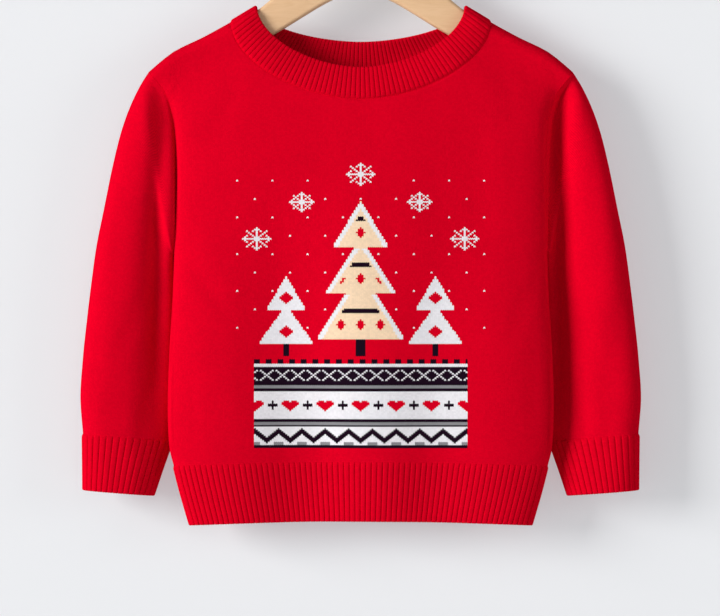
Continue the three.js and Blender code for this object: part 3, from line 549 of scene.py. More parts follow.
class Sheet:
    """A piece of cloth: a grid of points on its middle, and how its two faces stand off from them."""

    def __init__(
        self, name, grid, stitches, closed=False, outwards=1, places=None, open_row=None, grafted=None
    ):
        self.name = name
        self.grid = grid
        self.stitches = stitches  # the UV map, in stitches; a closed sheet has one column more of it
        self.closed = closed
        self.outwards = outwards
        self.places = places
        self.open_row = open_row  # 0 or -1 where that row is a rounded free edge
        self.grafted = grafted  # 0 or -1 where the knitting runs on into the next piece
        self.normals = self.own_normals()

    def own_normals(self):
        if self.closed:
            along = np.roll(self.grid, -1, 1) - np.roll(self.grid, 1, 1)
        else:
            along = np.gradient(self.grid, axis=1)
        normals = np.cross(along, np.gradient(self.grid, axis=0)) * self.outwards
        return normals / np.linalg.norm(normals, axis=2, keepdims=True)

    def from_edge(self, *free_rows):
        """The distance of each point from the nearest edge of its piece, but for the free rows."""
        reach = span_lengths(self.grid, 0)
        edges = [np.full_like(reach, np.inf)]
        if 0 not in free_rows:
            edges.append(reach)
        if -1 not in free_rows:
            edges.append(reach[-1] - reach)
        if not self.closed:
            across = span_lengths(self.grid, 1)
            edges += [across, across[:, -1:] - across]
        return np.minimum.reduce(edges)

    def faces_off(self):
        """How far the outer and the inner face stand off from the middle."""
        from_seam = self.from_edge(self.open_row, self.grafted)
        outer = CLOTH / 2 - SEAM_SINK * np.exp(-((from_seam / SEAM_REACH) ** 2))
        inner = np.full_like(outer, CLOTH / 2)
        if self.places is not None:
            grown = smooth(self.from_edge(self.open_row) / RIB_STARTS)
            outer = outer + (RIB_WALL - CLOTH) / 2 * grown
            outer = outer + RIB_HEIGHT * rib_profile(self.places) * grown
            inner = inner + RIB_INSIDE * rib_profile(self.places + 0.5) * grown - RIB_INSIDE / 2
        return outer[..., None], inner[..., None]

    def loops(self):
        """Rows of points round the cloth: up its outer face, over its edge and down its inner face."""
        outer, inner = self.faces_off()
        front = list(self.grid + self.normals * outer)
        back = list(self.grid - self.normals * inner)
        fronts = list(self.stitches)
        backs = list(self.stitches)
        over = []
        over_map = []
        if self.open_row is not None:
            end = self.open_row
            beyond = self.grid[end] - self.grid[-2 if end == -1 else 1]
            beyond /= np.linalg.norm(beyond, axis=1, keepdims=True)
            middle = (front[end] + back[end]) / 2
            half = np.linalg.norm(front[end] - back[end], axis=1, keepdims=True) / 2
            for turn in np.radians(EDGE_TURNS):
                proud = EDGE_PROUD * half * math.sin(turn)
                over.append(middle + self.normals[end] * half * math.cos(turn) + beyond * proud)
                over_map.append(self.stitches[end])
        if self.open_row == 0:
            return front + back[::-1] + over[::-1], fronts + backs[::-1] + over_map[::-1], 0
        return front + over + back[::-1], fronts + over_map + backs[::-1], len(over)

    def mesh(self):
        """The closed wall of the cloth, in metres, with its UV map."""
        rows, maps, between = self.loops()
        turns, columns = len(rows), rows[0].shape[0]
        height = self.grid.shape[0]
        spans = columns if self.closed else columns - 1
        map_columns = maps[0].shape[0]
        faces, corners = [], []
        for j in range(turns):
            above = (j + 1) % turns
            for i in range(spans):
                ring = ((j, i), (j, i + 1), (above, i + 1), (above, i))
                faces.append([a * columns + b % columns for a, b in ring])
                corners.append([a * map_columns + b for a, b in ring])
        if not self.closed:
            inside = lambda j: height + between + height - 1 - j
            for i, turn in ((0, 1), (columns - 1, -1)):
                walls = [(j, j + 1, inside(j + 1), inside(j)) for j in range(height - 1)]
                if self.open_row == 0:
                    walls.append((*range(2 * height - 1, turns), 0))
                for wall in walls:
                    ring = [a * columns + i for a in wall[::turn]]
                    faces.append(ring)
                    corners.append(ring)
        if self.outwards < 0:
            faces = [face[::-1] for face in faces]
            corners = [corner[::-1] for corner in corners]
        mesh = new_mesh(self.name, np.concatenate(rows), faces)
        layer = mesh.uv_layers.new(name="stitches")
        places = np.concatenate(maps)[np.concatenate([np.array(corner) for corner in corners])]
        layer.data.foreach_set("uv", places.astype(np.float32).ravel())
        mesh.shade_smooth()
        mesh.set_sharp_from_angle(angle=CLOTH_EDGE)
        return mesh

    def flat(self):
        """The piece's width, length and area before it was hung, in metres and square metres."""
        width = span_lengths(self.grid, 1)[:, -1].max()
        length = span_lengths(self.grid, 0)[-1].max()
        grid = np.concatenate([self.grid, self.grid[:, :1]], 1) if self.closed else self.grid
        if self.closed:
            width = span_lengths(grid, 1)[:, -1].max()
        one = np.cross(grid[:-1, 1:] - grid[:-1, :-1], grid[1:, :-1] - grid[:-1, :-1])
        other = np.cross(grid[:-1, 1:] - grid[1:, 1:], grid[1:, :-1] - grid[1:, 1:])
        area = (np.linalg.norm(one, axis=2) + np.linalg.norm(other, axis=2)).sum() / 2
        return (width * MM, length * MM), min(area, width * length) * MM * MM


def share_normals(sheets):
    """Points that lie together on two or more sheets get one shared normal.

    Tubes and flat sheets count alike in it.
    """
    meeting = {}
    edges = []
    for sheet in sheets:
        rows, columns = sheet.grid.shape[:2]
        for j in range(rows):
            ends = range(columns) if j in (0, rows - 1) else (0, columns - 1) if not sheet.closed else ()
            edges += [(sheet, j, i) for i in ends]
    key = lambda sheet, j, i: tuple(np.floor(sheet.grid[j, i] * 20 + 0.137).astype(int))
    for sheet, j, i in edges:
        sums = meeting.setdefault(key(sheet, j, i), {False: np.zeros(3), True: np.zeros(3)})
        sums[sheet.closed] += sheet.normals[j, i]
    for sheet, j, i in edges:
        unit = [total / max(np.linalg.norm(total), 1e-9) for total in meeting[key(sheet, j, i)].values()]
        mean = unit[0] + unit[1]
        sheet.normals[j, i] = mean / np.linalg.norm(mean)


def body_stitches(face, grid):
    """The UV map of the front or back: stitches from its middle, courses from the foot of the chart."""
    xs = np.linspace(0, SHOULDER_X, 300)
    reach = span_lengths(points(xs, body_y(face, xs, GIRTH_DROP, []), GIRTH_DROP)[None], 1)[0]
    x = grid[..., 0]
    across = np.sign(x) * np.interp(np.abs(x), xs, reach) / WALE + 0.5
    return np.stack([across, (CHART_FOOT_DROP - (COLLAR_TIP_Z - grid[..., 2])) / COURSE], -1)


def sleeve_stitches(grid):
    """The UV map of a sleeve: wales run along its outer edge, and the map's join is at the inner edge."""
    closed = np.concatenate([grid, grid[:, :1]], 1)
    outer = closed.shape[1] // 2
    axis = grid[-1, outer] - grid[0, outer]
    axis /= np.linalg.norm(axis)
    steps = np.diff(closed, axis=1)
    steps -= (steps @ axis)[..., None] * axis
    reach = np.concatenate([np.zeros((len(grid), 1)), np.cumsum(np.linalg.norm(steps, axis=2), 1)], 1)
    return np.stack([(reach - reach[:, outer : outer + 1]) / WALE, -(closed @ axis) / COURSE], -1)


def rib_stitches(grid, places, closed):
    """The UV map of a ribbed sheet."""
    if closed:
        grid = np.concatenate([grid, grid[:, :1]], 1)
        places = np.append(places, math.ceil(places[-1]))
    height = np.broadcast_to(span_lengths(grid, 0).mean(1, keepdims=True), grid.shape[:2])
    return np.stack([np.broadcast_to(RIB_STITCHES * places, height.shape), height / COURSE], -1)


def make_sheets():
    """Every piece of cloth, by name."""
    made = {}

    def add(name, grid, stitches, **facts):
        made[name] = Sheet(name, grid, stitches, **facts)

    for face, word in ((FRONT, "front"), (BACK, "back")):
        panel = panel_grid(face)
        add(f"{word}_panel", panel, body_stitches(face, panel), outwards=-face, grafted=0)
    for side, word in ((-1, "right"), (1, "left")):
        sleeve = sleeve_grid(side)
        add(f"sleeve_{word}", sleeve, sleeve_stitches(sleeve), closed=True, outwards=side, grafted=-1)
    for side, word in ((-1, "right"), (1, "left")):
        places = rib_places(2 * CUFF_RIBS, closed=True)
        cuff = cuff_grid(side, places)
        facts = {"closed": True, "outwards": side, "places": places, "open_row": -1, "grafted": 0}
        add(f"cuff_{word}", cuff, rib_stitches(cuff, places, True), **facts)
    for face, word in ((FRONT, "front"), (BACK, "back")):
        places = rib_places(2 * HEM_RIBS, start=-HEM_RIBS)
        hem = hem_grid(face, places)
        facts = {"outwards": -face, "places": places, "open_row": 0, "grafted": -1}
        add(f"hem_{word}", hem, rib_stitches(hem, places, False), **facts)
    places = rib_places(4 * COLLAR_RIBS, closed=True)
    collar = collar_grid(places)
    facts = {"closed": True, "places": places, "open_row": -1}
    add("collar", collar, rib_stitches(collar, places, True), **facts)
    share_normals([made[name] for name in ("front_panel", "back_panel", "sleeve_right", "sleeve_left")])
    share_normals([made["hem_front"], made["hem_back"]])
    return made


def new_mesh(name, places, faces, edges=()):
    """A mesh of points in millimetres."""
    mesh = bpy.data.meshes.new(name)
    mesh.from_pydata((np.asarray(places, float) * MM).tolist(), edges, faces)
    return mesh


def put(name, mesh, material):
    """An object of that mesh, in the scene, with its material."""
    thing = bpy.data.objects.new(name, mesh)
    bpy.context.scene.collection.objects.link(thing)
    mesh.materials.clear()
    mesh.materials.append(material)
    return thing


def grown(thing):
    """Turns what an object's modifiers make of it into its own mesh."""
    graph = bpy.context.evaluated_depsgraph_get()
    thing.data = bpy.data.meshes.new_from_object(thing.evaluated_get(graph))
    thing.modifiers.clear()
    return thing


def sign(operation, turned=False):
    """What a sign between two Numbers does: a Math node of that operation."""
    if turned:
        return lambda self, other: calc(operation, other, self)
    return lambda self, *other: calc(operation, self, *other)


class Number:
    """A number in a node tree, so that a formula can be written with the usual signs."""

    def __init__(self, tree, socket):
        self.tree, self.socket = tree, socket

    __add__ = __radd__ = sign("ADD")
    __sub__, __rsub__ = sign("SUBTRACT"), sign("SUBTRACT", turned=True)
    __mul__ = __rmul__ = sign("MULTIPLY")
    __truediv__ = sign("DIVIDE")
    __mod__ = sign("FLOORED_MODULO")
    __abs__ = sign("ABSOLUTE")
    __lt__, __gt__ = sign("LESS_THAN"), sign("GREATER_THAN")


def wire(tree, value, socket):
    """Gives a socket a value, which is a number, a colour, another socket or a Number."""
    if isinstance(value, Number):
        value = value.socket
    if isinstance(value, bpy.types.NodeSocket):
        tree.links.new(value, socket)
    else:
        socket.default_value = value


def calc(operation, *values):
    """A Math node's result."""
    tree = next(value.tree for value in values if isinstance(value, Number))
    node = tree.nodes.new("ShaderNodeMath")
    node.operation = operation
    for value, socket in zip(values, node.inputs):
        wire(tree, value, socket)
    return Number(tree, node.outputs[0])


def floor(value):
    return calc("FLOOR", value)


def fract(value):
    return calc("FRACT", value)


def step_between(low, value, high):
    """1 where a whole number is from low up to, but not including, high."""
    return (value > low - 0.5) * (value < high - 0.5)


def add_node(tree, kind, settings=None, **inputs):
    """A node with its settings and inputs. An input's name has _ for each space."""
    node = tree.nodes.new(kind)
    for name, value in (settings or {}).items():
        setattr(node, name, value)
    for name, value in inputs.items():
        wire(tree, value, node.inputs[name.replace("_", " ")])
    return node


def object_place(tree):
    """The socket of a place on the object."""
    return add_node(tree, "ShaderNodeTexCoord").outputs["Object"]


def noise(tree, place, scale, detail, **more):
    """The value socket of a noise."""
    node = add_node(tree, "ShaderNodeTexNoise", Vector=place, Scale=scale, Detail=detail, **more)
    return node.outputs[0]


def mix_colour(tree, share, first, second, blend="MIX"):
    """The colour socket of one colour laid over another by a share."""
    node = tree.nodes.new("ShaderNodeMix")
    node.data_type = "RGBA"
    node.blend_type = blend
    wire(tree, share, node.inputs[0])
    wire(tree, first, node.inputs[6])
    wire(tree, second, node.inputs[7])
    return node.outputs[2]


def group(name, inputs, outputs):
    """A new shader node group, with the sockets of its inside ends by name."""
    tree = bpy.data.node_groups.new(name, "ShaderNodeTree")
    kinds = {"number": "NodeSocketFloat", "colour": "NodeSocketColor", "vector": "NodeSocketVector"}
    for title, kind, value in inputs:
        socket = tree.interface.new_socket(title, in_out="INPUT", socket_type=kinds[kind])
        socket.default_value = value
    for title, kind in outputs:
        tree.interface.new_socket(title, in_out="OUTPUT", socket_type=kinds[kind])
    start = tree.nodes.new("NodeGroupInput").outputs
    end = tree.nodes.new("NodeGroupOutput").inputs
    return tree, start, end


def use(tree, shared, **inputs):
    """A shared group, placed in a material."""
    node = add_node(tree, "ShaderNodeGroup", {"node_tree": shared}, **inputs)
    return node.outputs


def knit_stitches():
    """Plain knit: which stitch a place is in, how high its yarn stands and how deep the gaps are."""
    inputs = [("Stitches", "vector", (0, 0, 0)), ("Slant", "number", 0.55)]
    outputs = [(name, "number") for name in ("Column", "Row", "Height", "Gap", "Tone")]
    tree, start, end = group("knit_stitches", inputs, outputs)
    place = add_node(tree, "ShaderNodeSeparateXYZ", Vector=start["Stitches"]).outputs
    across = Number(tree, place["X"])
    up = Number(tree, place["Y"])
    slant = Number(tree, start["Slant"])
    leg = abs(fract(across) - 0.5) * 2
    climbed = up + slant * leg
    column, row = floor(across), floor(climbed)
    rise = abs(fract(climbed) - 0.5) * 2
    ridge = calc("POWER", 1 - abs(leg * 2 - 1), 0.55)
    height = ridge * (1 - rise * rise * 0.25) * (1 - leg * 0.2)
    # how deep the gap between stitches is here; the yarn group darkens the colour by it, as painted shade
    gap = calc("POWER", 1 - height, 2)
    spot = add_node(tree, "ShaderNodeCombineXYZ", X=column, Y=row).outputs[0]
    chance = add_node(tree, "ShaderNodeTexWhiteNoise", {"noise_dimensions": "2D"}, Vector=spot)
    for name, value in (("Column", column), ("Row", row), ("Height", height), ("Gap", gap)):
        wire(tree, value, end[name])
    wire(tree, chance.outputs["Value"], end["Tone"])
    return tree


def yarn():
    """Yarn: its colour varies from stitch to stitch and over the cloth, and has painted shade in the gaps
    between the stitches.
    """
    inputs = [
        ("Colour", "colour", (1, 1, 1, 1)),
        ("Tone", "number", 0.5),
        ("Gap", "number", 0.0),
        ("Height", "number", 0.5),
        ("Unevenness", "number", 0.1),
        ("Depth", "number", 0.3),
    ]
    outputs = [("Colour", "colour"), ("Roughness", "number"), ("Height", "number")]
    tree, start, end = group("yarn", inputs, outputs)
    place = object_place(tree)
    drift = noise(tree, place, 28.0, 3.0)
    fibre = noise(tree, place, 2400.0, 2.0)
    uneven = Number(tree, start["Unevenness"])
    gap = Number(tree, start["Gap"])
    wander = Number(tree, drift) + Number(tree, start["Tone"]) + Number(tree, fibre) - 1.5
    # painted shade: the colour is made darker in the gaps between the stitches
    shade = (1 + wander * uneven) * (1 - gap * Number(tree, start["Depth"]))
    grey = add_node(tree, "ShaderNodeCombineXYZ", X=shade, Y=shade, Z=shade).outputs[0]
    wire(tree, mix_colour(tree, 1.0, start["Colour"], grey, "MULTIPLY"), end["Colour"])
    wire(tree, 0.82 + gap * 0.12 + Number(tree, fibre) * 0.06, end["Roughness"])
    wire(tree, Number(tree, start["Height"]) + Number(tree, fibre) * 0.35, end["Height"])
    return tree


def snowflake(across, up, reach):
    """A snow crystal of single stitches: straight arms with barbs, and shorter slanting arms."""
    wide, tall = abs(across), abs(up)
    most, least = calc("MAXIMUM", wide, tall), calc("MINIMUM", wide, tall)
    arms = (least < 0.5) * (most < reach + 0.5)
    slanting = (most - least < 0.5) * (most < reach - 1.5)
    barbs = (abs(most + least - reach) < 0.5) * (least > 0.5) * (least < 2.5)
    return calc("MAXIMUM", calc("MAXIMUM", arms, slanting), barbs)


def heart(across, up):
    """A heart nine stitches wide and eight high, from its tip at 0 up."""
    wide = abs(across)
    lower = (wide - up < 0.5) * (wide < 4.5) * step_between(0, up, 6)
    lobes = (abs(wide - 2) < 1.5) * step_between(6, up, 7)
    return calc("MAXIMUM", lower, lobes)


def tree_shape(across, above, tiers, height, width, shrink, waist):
    """How far inside a fir tree a stitch is, below 0 outside it, and the share up its tier."""
    climbed = above / height
    tier = floor(climbed)
    share = climbed - tier
    foot = width - tier * shrink
    top = calc("MAXIMUM", (tiers - 1.5 - tier) * waist, 0)
    inside = foot * (1 - share) + top * share - across
    within = step_between(0, above, tiers * height)
    return (inside + 1) * within - 1, share


def chest_chart():
    """The knitted design on the chest: trees and snow crystals over a patterned band."""
    colours = {"Ground": RED, "Cream": CREAM, "White": WHITE, "Navy": NAVY, "Grey": GREY}
    inputs = [("Column", "number", 0.0), ("Row", "number", 0.0)]
    inputs += [(name, "colour", (*colour, 1)) for name, colour in colours.items()]
    tree, start, end = group("chest_chart", inputs, [("Colour", "colour")])
    column, row = Number(tree, start["Column"]), Number(tree, start["Row"])
    out = abs(column)
    painted = start["Ground"]

    def paint(mask, name):
        nonlocal painted
        painted = mix_colour(tree, mask, painted, start[name])

    # snow in the air, with big crystals in an arc over the trees
    flake = (abs((column + floor(row / 12) * 9) % 18 - 9) < 0.5) * (abs(row % 12 - 6) < 0.9)
    paint(flake * step_between(72, row, 180) * (out < 68), "White")
    for x, y, reach in ((0, 178, 7), (30, 160, 6), (53, 136, 7)):
        across, up = out - x, row - y
        paint((abs(across) < 10) * (abs(up) < 10), "Ground")
        paint(snowflake(across, up, reach), "White")

    # the tall tree
    inside, share = tree_shape(out, row - 71, 3, 30, 22, 4, 5)
    paint((out < 2.5) * step_between(60, row, 72), "Navy")
    paint(inside > 0, "Cream")
    paint((inside > 0) * (inside < 2.6) * (share < 0.95), "White")
    bauble = abs((column + 5) % 10 - 5) + abs((share - 0.3) * 20)
    paint((bauble < 2.4) * (inside > 4), "Ground")
    paint((inside > 4) * (abs(share - 0.6) < 0.05), "Navy")

    # the small trees beside it
    beside = abs(out - 38)
    inside, share = tree_shape(beside, row - 68, 2, 22, 14, 4, 3)
    paint((beside < 1.5) * step_between(60, row, 69), "Navy")
    paint(inside > 0, "White")
    paint((beside + abs((share - 0.34) * 22) < 3.6) * (inside > 0), "Ground")

    # the band under them: a zigzag, hearts and little crosses between stripes
    band = out < 54.5
    paint(band * step_between(0, row, 58), "Navy")
    paint(band * step_between(2, row, 14), "White")
    zigzag = abs(row - 4.5 - abs((column + 6) % 12 - 6))
    paint(band * (zigzag < 1.6) * step_between(3, row, 13), "Navy")
    paint(band * step_between(2, row, 4) * (abs((column + 6) % 12 - 6) > 3.5), "Grey")
    paint(band * step_between(15, row, 17), "Grey")
    paint(band * step_between(19, row, 37), "White")
    paint(band * heart((column + 9) % 18 - 9, row - 24), "Ground")
    between = abs(column % 18 - 9)
    paint(band * (between < 0.5) * (abs(row - 27.5) < 3), "Navy")
    paint(band * (between < 2.5) * (abs(row - 27.5) < 0.9), "Navy")
    paint(band * step_between(39, row, 41), "Grey")
    cross = abs((column + 4) % 8 - 4)
    paint(band * (abs(cross - abs(row - 47)) < 0.5) * (cross < 3.5), "White")
    paint(band * step_between(53, row, 55), "White")
    paint(band * step_between(55, row, 58) * (column % 6 > 2.5), "Ground")
    wire(tree, painted, end["Colour"])
    return tree


def new_material(name):
    """An empty material, its tree and its shader."""
    material = bpy.data.materials.new(name)
    material.use_nodes = True
    tree = material.node_tree
    tree.nodes.clear()
    shader = tree.nodes.new("ShaderNodeBsdfPrincipled")
    output = tree.nodes.new("ShaderNodeOutputMaterial")
    tree.links.new(shader.outputs[0], output.inputs[0])
    return material, tree, shader


def fix(shader, values):
    """Sets fixed values on the shader itself."""
    for name, value in values.items():
        shader.inputs[name].default_value = value


def bumped(tree, height, strength, distance):
    """The normal socket of a relief, its distance in millimetres."""
    distance *= MM
    return add_node(tree, "ShaderNodeBump", Height=height, Strength=strength, Distance=distance).outputs[0]


def cloth_shader(shader):
    """The fixed values of wool-like yarn: no gloss, and a soft red nap where it is seen at a slant."""
    nap = {"Sheen Weight": 0.3, "Sheen Roughness": 0.5, "Sheen Tint": (1.0, 0.002, 0.03, 1)}
    fix(shader, {"Specular IOR Level": 0.0, **nap})


def knit_material(name, colour, shared, chart=None, strength=0.9):
    """Knitted yarn in one colour, or with the chart's colours."""
    material, tree, shader = new_material(name)
    place = add_node(tree, "ShaderNodeUVMap", {"uv_map": "stitches"}).outputs[0]
    stitch = use(tree, shared["stitches"], Stitches=place)
    ground = (*colour, 1)
    if chart:
        ground = use(tree, chart, Column=stitch["Column"], Row=stitch["Row"])["Colour"]
    facts = {"Tone": stitch["Tone"], "Gap": stitch["Gap"], "Height": stitch["Height"]}
    spun = use(tree, shared["yarn"], Colour=ground, **facts)
    wire(tree, spun["Colour"], shader.inputs["Base Color"])
    wire(tree, spun["Roughness"], shader.inputs["Roughness"])
    wire(tree, bumped(tree, spun["Height"], strength, YARN_RELIEF), shader.inputs["Normal"])
    cloth_shader(shader)
    return material


def seam_material(shared):
    """The twisted yarn of the seams."""
    material, tree, shader = new_material("seam_yarn")
    twist = noise(tree, object_place(tree), 1500.0, 1.0)
    spun = use(tree, shared["yarn"], Colour=(*RIB_RED, 1), Tone=twist, Height=twist)
    wire(tree, spun["Colour"], shader.inputs["Base Color"])
    wire(tree, spun["Roughness"], shader.inputs["Roughness"])
    wire(tree, bumped(tree, spun["Height"], 0.5, 0.2), shader.inputs["Normal"])
    cloth_shader(shader)
    return material


def wood_material():
    """Beech with a satin lacquer: long grain along the board, fine pores and a paler and darker figure."""
    material, tree, shader = new_material("satin_beech")
    place = object_place(tree)
    along = add_node(tree, "ShaderNodeMapping", Vector=place, Scale=(9.0, 60.0, 85.0)).outputs[0]
    figure = noise(tree, along, 1.0, 5.0, Distortion=0.7)
    flecks = add_node(tree, "ShaderNodeMapping", Vector=place, Scale=(120.0, 900.0, 1300.0)).outputs[0]
    pores = noise(tree, flecks, 1.0, 2.0)
    grain = Number(tree, figure)
    rings = abs(fract(grain * 9) - 0.5) * 2
    pore = calc("SMOOTH_MIN", Number(tree, pores) * 2.2, 1.0, 0.2)
    share = calc("MULTIPLY", rings * 0.35 + (1 - pore) * 0.5 + (grain - 0.5) * 0.6, 0.7)
    colour = mix_colour(tree, calc("MAXIMUM", share, 0), (*BEECH, 1), (*BEECH_DARK, 1))
    wire(tree, colour, shader.inputs["Base Color"])
    wire(tree, 0.42 + rings * 0.08, shader.inputs["Roughness"])
    wire(tree, bumped(tree, pores, 0.25, 0.15), shader.inputs["Normal"])
    fix(shader, {"Coat Weight": 0.2, "Coat Roughness": 0.3})
    return material


def steel_material():
    """Bright plated wire, with fine marks of the drawing along it."""
    material, tree, shader = new_material("plated_wire")
    place = object_place(tree)
    marks = noise(tree, place, 900.0, 3.0)
    cloud = noise(tree, place, 60.0, 2.0)
    dull = tuple(0.8 * part for part in STEEL)
    colour = mix_colour(tree, Number(tree, cloud) * 0.5, (*STEEL, 1), (*dull, 1))
    wire(tree, colour, shader.inputs["Base Color"])
    wire(tree, 0.18 + Number(tree, marks) * 0.16, shader.inputs["Roughness"])
    wire(tree, bumped(tree, marks, 0.1, 0.05), shader.inputs["Normal"])
    fix(shader, {"Metallic": 1.0})
    return material


def stitch_tree():
    """Small slanting stitches, one after the other along a seam."""
    tree = bpy.data.node_groups.new("linked_stitches", "GeometryNodeTree")
    face = tree.interface
    face.new_socket("Seam", in_out="INPUT", socket_type="NodeSocketGeometry")
    sizes = {"Pitch": 1.9 * MM, "Length": 2.3 * MM, "Thickness": 0.75 * MM, "Slant": 0.45}
    ids = {}
    for name, value in sizes.items():
        socket = face.new_socket(name, in_out="INPUT", socket_type="NodeSocketFloat")
        socket.default_value = value
        ids[name] = socket.identifier
    ids["Yarn"] = face.new_socket("Yarn", in_out="INPUT", socket_type="NodeSocketMaterial").identifier
    face.new_socket("Stitches", in_out="OUTPUT", socket_type="NodeSocketGeometry")
    start = tree.nodes.new("NodeGroupInput").outputs

    def step(kind, settings=None, **inputs):
        return add_node(tree, kind, settings, **inputs).outputs[0]

    line = step("GeometryNodeMeshToCurve", Mesh=start["Seam"])
    spots = step("GeometryNodeResampleCurve", {"mode": "LENGTH"}, Curve=line, Length=start["Pitch"])
    thick = start["Thickness"]
    size = step("ShaderNodeCombineXYZ", X=start["Length"], Y=thick, Z=thick)
    bead = step("GeometryNodeMeshUVSphere", Segments=6, Rings=5, Radius=0.5)
    shaped = step("GeometryNodeTransform", Geometry=bead, Scale=size)
    rounded = step("GeometryNodeSetShadeSmooth", Geometry=shaped)
    tangent = step("GeometryNodeInputTangent")
    out = step("GeometryNodeInputNamedAttribute", {"data_type": "FLOAT_VECTOR"}, Name="out")
    align = "FunctionNodeAlignRotationToVector"
    lying = step(align, {"axis": "X"}, Vector=tangent)
    standing = step(align, {"axis": "Z", "pivot_axis": "X"}, Rotation=lying, Vector=out)
    number = step("GeometryNodeInputIndex")
    wobble = add_node(tree, "FunctionNodeRandomValue", {"data_type": "FLOAT"}, ID=number, Seed=7)
    wobble.inputs[2].default_value = 0.75
    wobble.inputs[3].default_value = 1.25
    slant = calc("MULTIPLY", Number(tree, start["Slant"]), Number(tree, wobble.outputs[1])).socket
    lean = step("FunctionNodeAxisAngleToRotation", Axis=(0, 0, 1), Angle=slant)
    turn = add_node(tree, "FunctionNodeRotateRotation", {"rotation_space": "LOCAL"}, Rotation=standing)
    wire(tree, lean, turn.inputs[1])
    facts = {"Points": spots, "Instance": rounded, "Rotation": turn.outputs[0]}
    placed = step("GeometryNodeInstanceOnPoints", **facts)
    real = step("GeometryNodeRealizeInstances", Geometry=placed)
    dyed = step("GeometryNodeSetMaterial", Geometry=real, Material=start["Yarn"])
    wire(tree, dyed, tree.nodes.new("NodeGroupOutput").inputs[0])
    return tree, ids


def seam_piece(name, lines, stitches, material):
    """Stitches along lines of the cloth.

    Each line is its points, the ways out of the cloth there, and whether it closes.
    """
    places, ways, edges = [], [], []
    for line, out, closed in lines:
        first = sum(len(each) for each in places)
        count = len(line)
        places.append(line)
        ways.append(out)
        edges += [(first + i, first + (i + 1) % count) for i in range(count if closed else count - 1)]
    mesh = new_mesh(name, np.concatenate(places), [], edges)
    way = mesh.attributes.new("out", "FLOAT_VECTOR", "POINT")
    way.data.foreach_set("vector", np.concatenate(ways).astype(np.float32).ravel())
    thing = put(name, mesh, material)
    tree, ids = stitches
    modifier = thing.modifiers.new("stitches", "NODES")
    modifier.node_group = tree
    modifier[ids["Yarn"]] = material
    return grown(thing)


def edge_line(sheet, row=None, column=None, part=slice(None), closed=False):
    """A line on the outer face of a sheet, along one of its rows or columns."""
    outer, _ = sheet.faces_off()
    place = (row, part) if column is None else (part, column)
    rise = outer[place] + SEAM_SINK - STITCH_SINK
    return sheet.grid[place] + sheet.normals[place] * rise, sheet.normals[place], closed


def seam_lines(sheets):
    """The lines of every seam, by the name of its piece."""
    front, back = sheets["front_panel"], sheets["back_panel"]
    columns = front.grid.shape[1]
    shoulder = round(HALF_PANEL_COLUMNS * (1 - HEM_COLUMNS[len(COLLAR_COLUMNS) - 1] / HEM_RIBS)) + 1
    lower = slice(0, LOWER_ROWS + 1)
    ends = (0, columns - 1)
    lines = {
        "neck_seam": [edge_line(sheets["collar"], row=0, closed=True)],
        "shoulder_seams": [
            edge_line(front, row=-1, part=slice(0, shoulder)),
            edge_line(front, row=-1, part=slice(columns - shoulder, columns)),
        ],
        "side_seams": [edge_line(front, column=i, part=lower) for i in ends],
    }
    lines["side_seams"] += [edge_line(sheets["hem_front"], column=i) for i in (0, -1)]
    for word in ("right", "left"):
        sleeve, cuff = sheets[f"sleeve_{word}"], sheets[f"cuff_{word}"]
        lines[f"armhole_seam_{word}"] = [edge_line(sleeve, row=0, closed=True)]
        lines[f"sleeve_seam_{word}"] = [edge_line(sleeve, column=0), edge_line(cuff, column=0)]
    return lines


def spline(corners, steps):
    """Points on a smooth curve through the corners, as many between each two as steps says."""
    corners = np.array(corners, float)
    k = np.arange(len(corners) - 1)
    ends = (np.maximum(k - 1, 0), k, k + 1, np.minimum(k + 2, len(corners) - 1))
    before, start, end, after = (corners[each][:, None] for each in ends)
    t = (np.arange(steps) / steps)[None, :, None]
    out, back, rise = (end - before) / 2, (after - start) / 2, end - start
    made = start + out * t + (3 * rise - 2 * out - back) * t**2 + (out + back - 2 * rise) * t**3
    return np.concatenate([made.reshape(-1, 2), corners[-1:]])


def spaced(line, count):
    """So many points along a line, all as far apart."""
    reach = np.concatenate([[0], np.cumsum(np.linalg.norm(np.diff(line, axis=0), axis=1))])
    at = np.linspace(0, reach[-1], count)
    return np.stack([np.interp(at, reach, line[:, 0]), np.interp(at, reach, line[:, 1])], 1)


def board_outline():
    """The hanger's outline seen from the front, x and z, once round."""
    crest = [(x, float(curve(RIDGE, 1, x)) + HANGER_BELOW_RIDGE) for x in HANGER_RIDGE_XS]
    upper = spaced(spline(HANGER_UPPER + crest, 9), BOARD_POINTS)
    lower = spaced(spline(HANGER_LOWER, 12), BOARD_POINTS)
    tip_drop = float(curve(RIDGE, 1, BOARD_END_X)) + 10
    tip = spline([upper[-1], (BOARD_END_X - 2.2, tip_drop - 6), (BOARD_END_X, tip_drop), lower[-1]], 5)
    right = np.concatenate([upper, tip[1:-1], lower[::-1]])
    left = right[-2:0:-1] * (-1, 1)
    outline = np.concatenate([right, left])
    outline[:, 1] = COLLAR_TIP_Z - outline[:, 1]
    return outline


def tube_faces(rings, sides):
    """The faces between rings of points, each joined to the next one."""
    faces = []
    for first in range(0, (rings - 1) * sides, sides):
        for i in range(sides):
            after = (i + 1) % sides
            faces.append((first + i, first + sides + i, first + sides + after, first + after))
    return faces


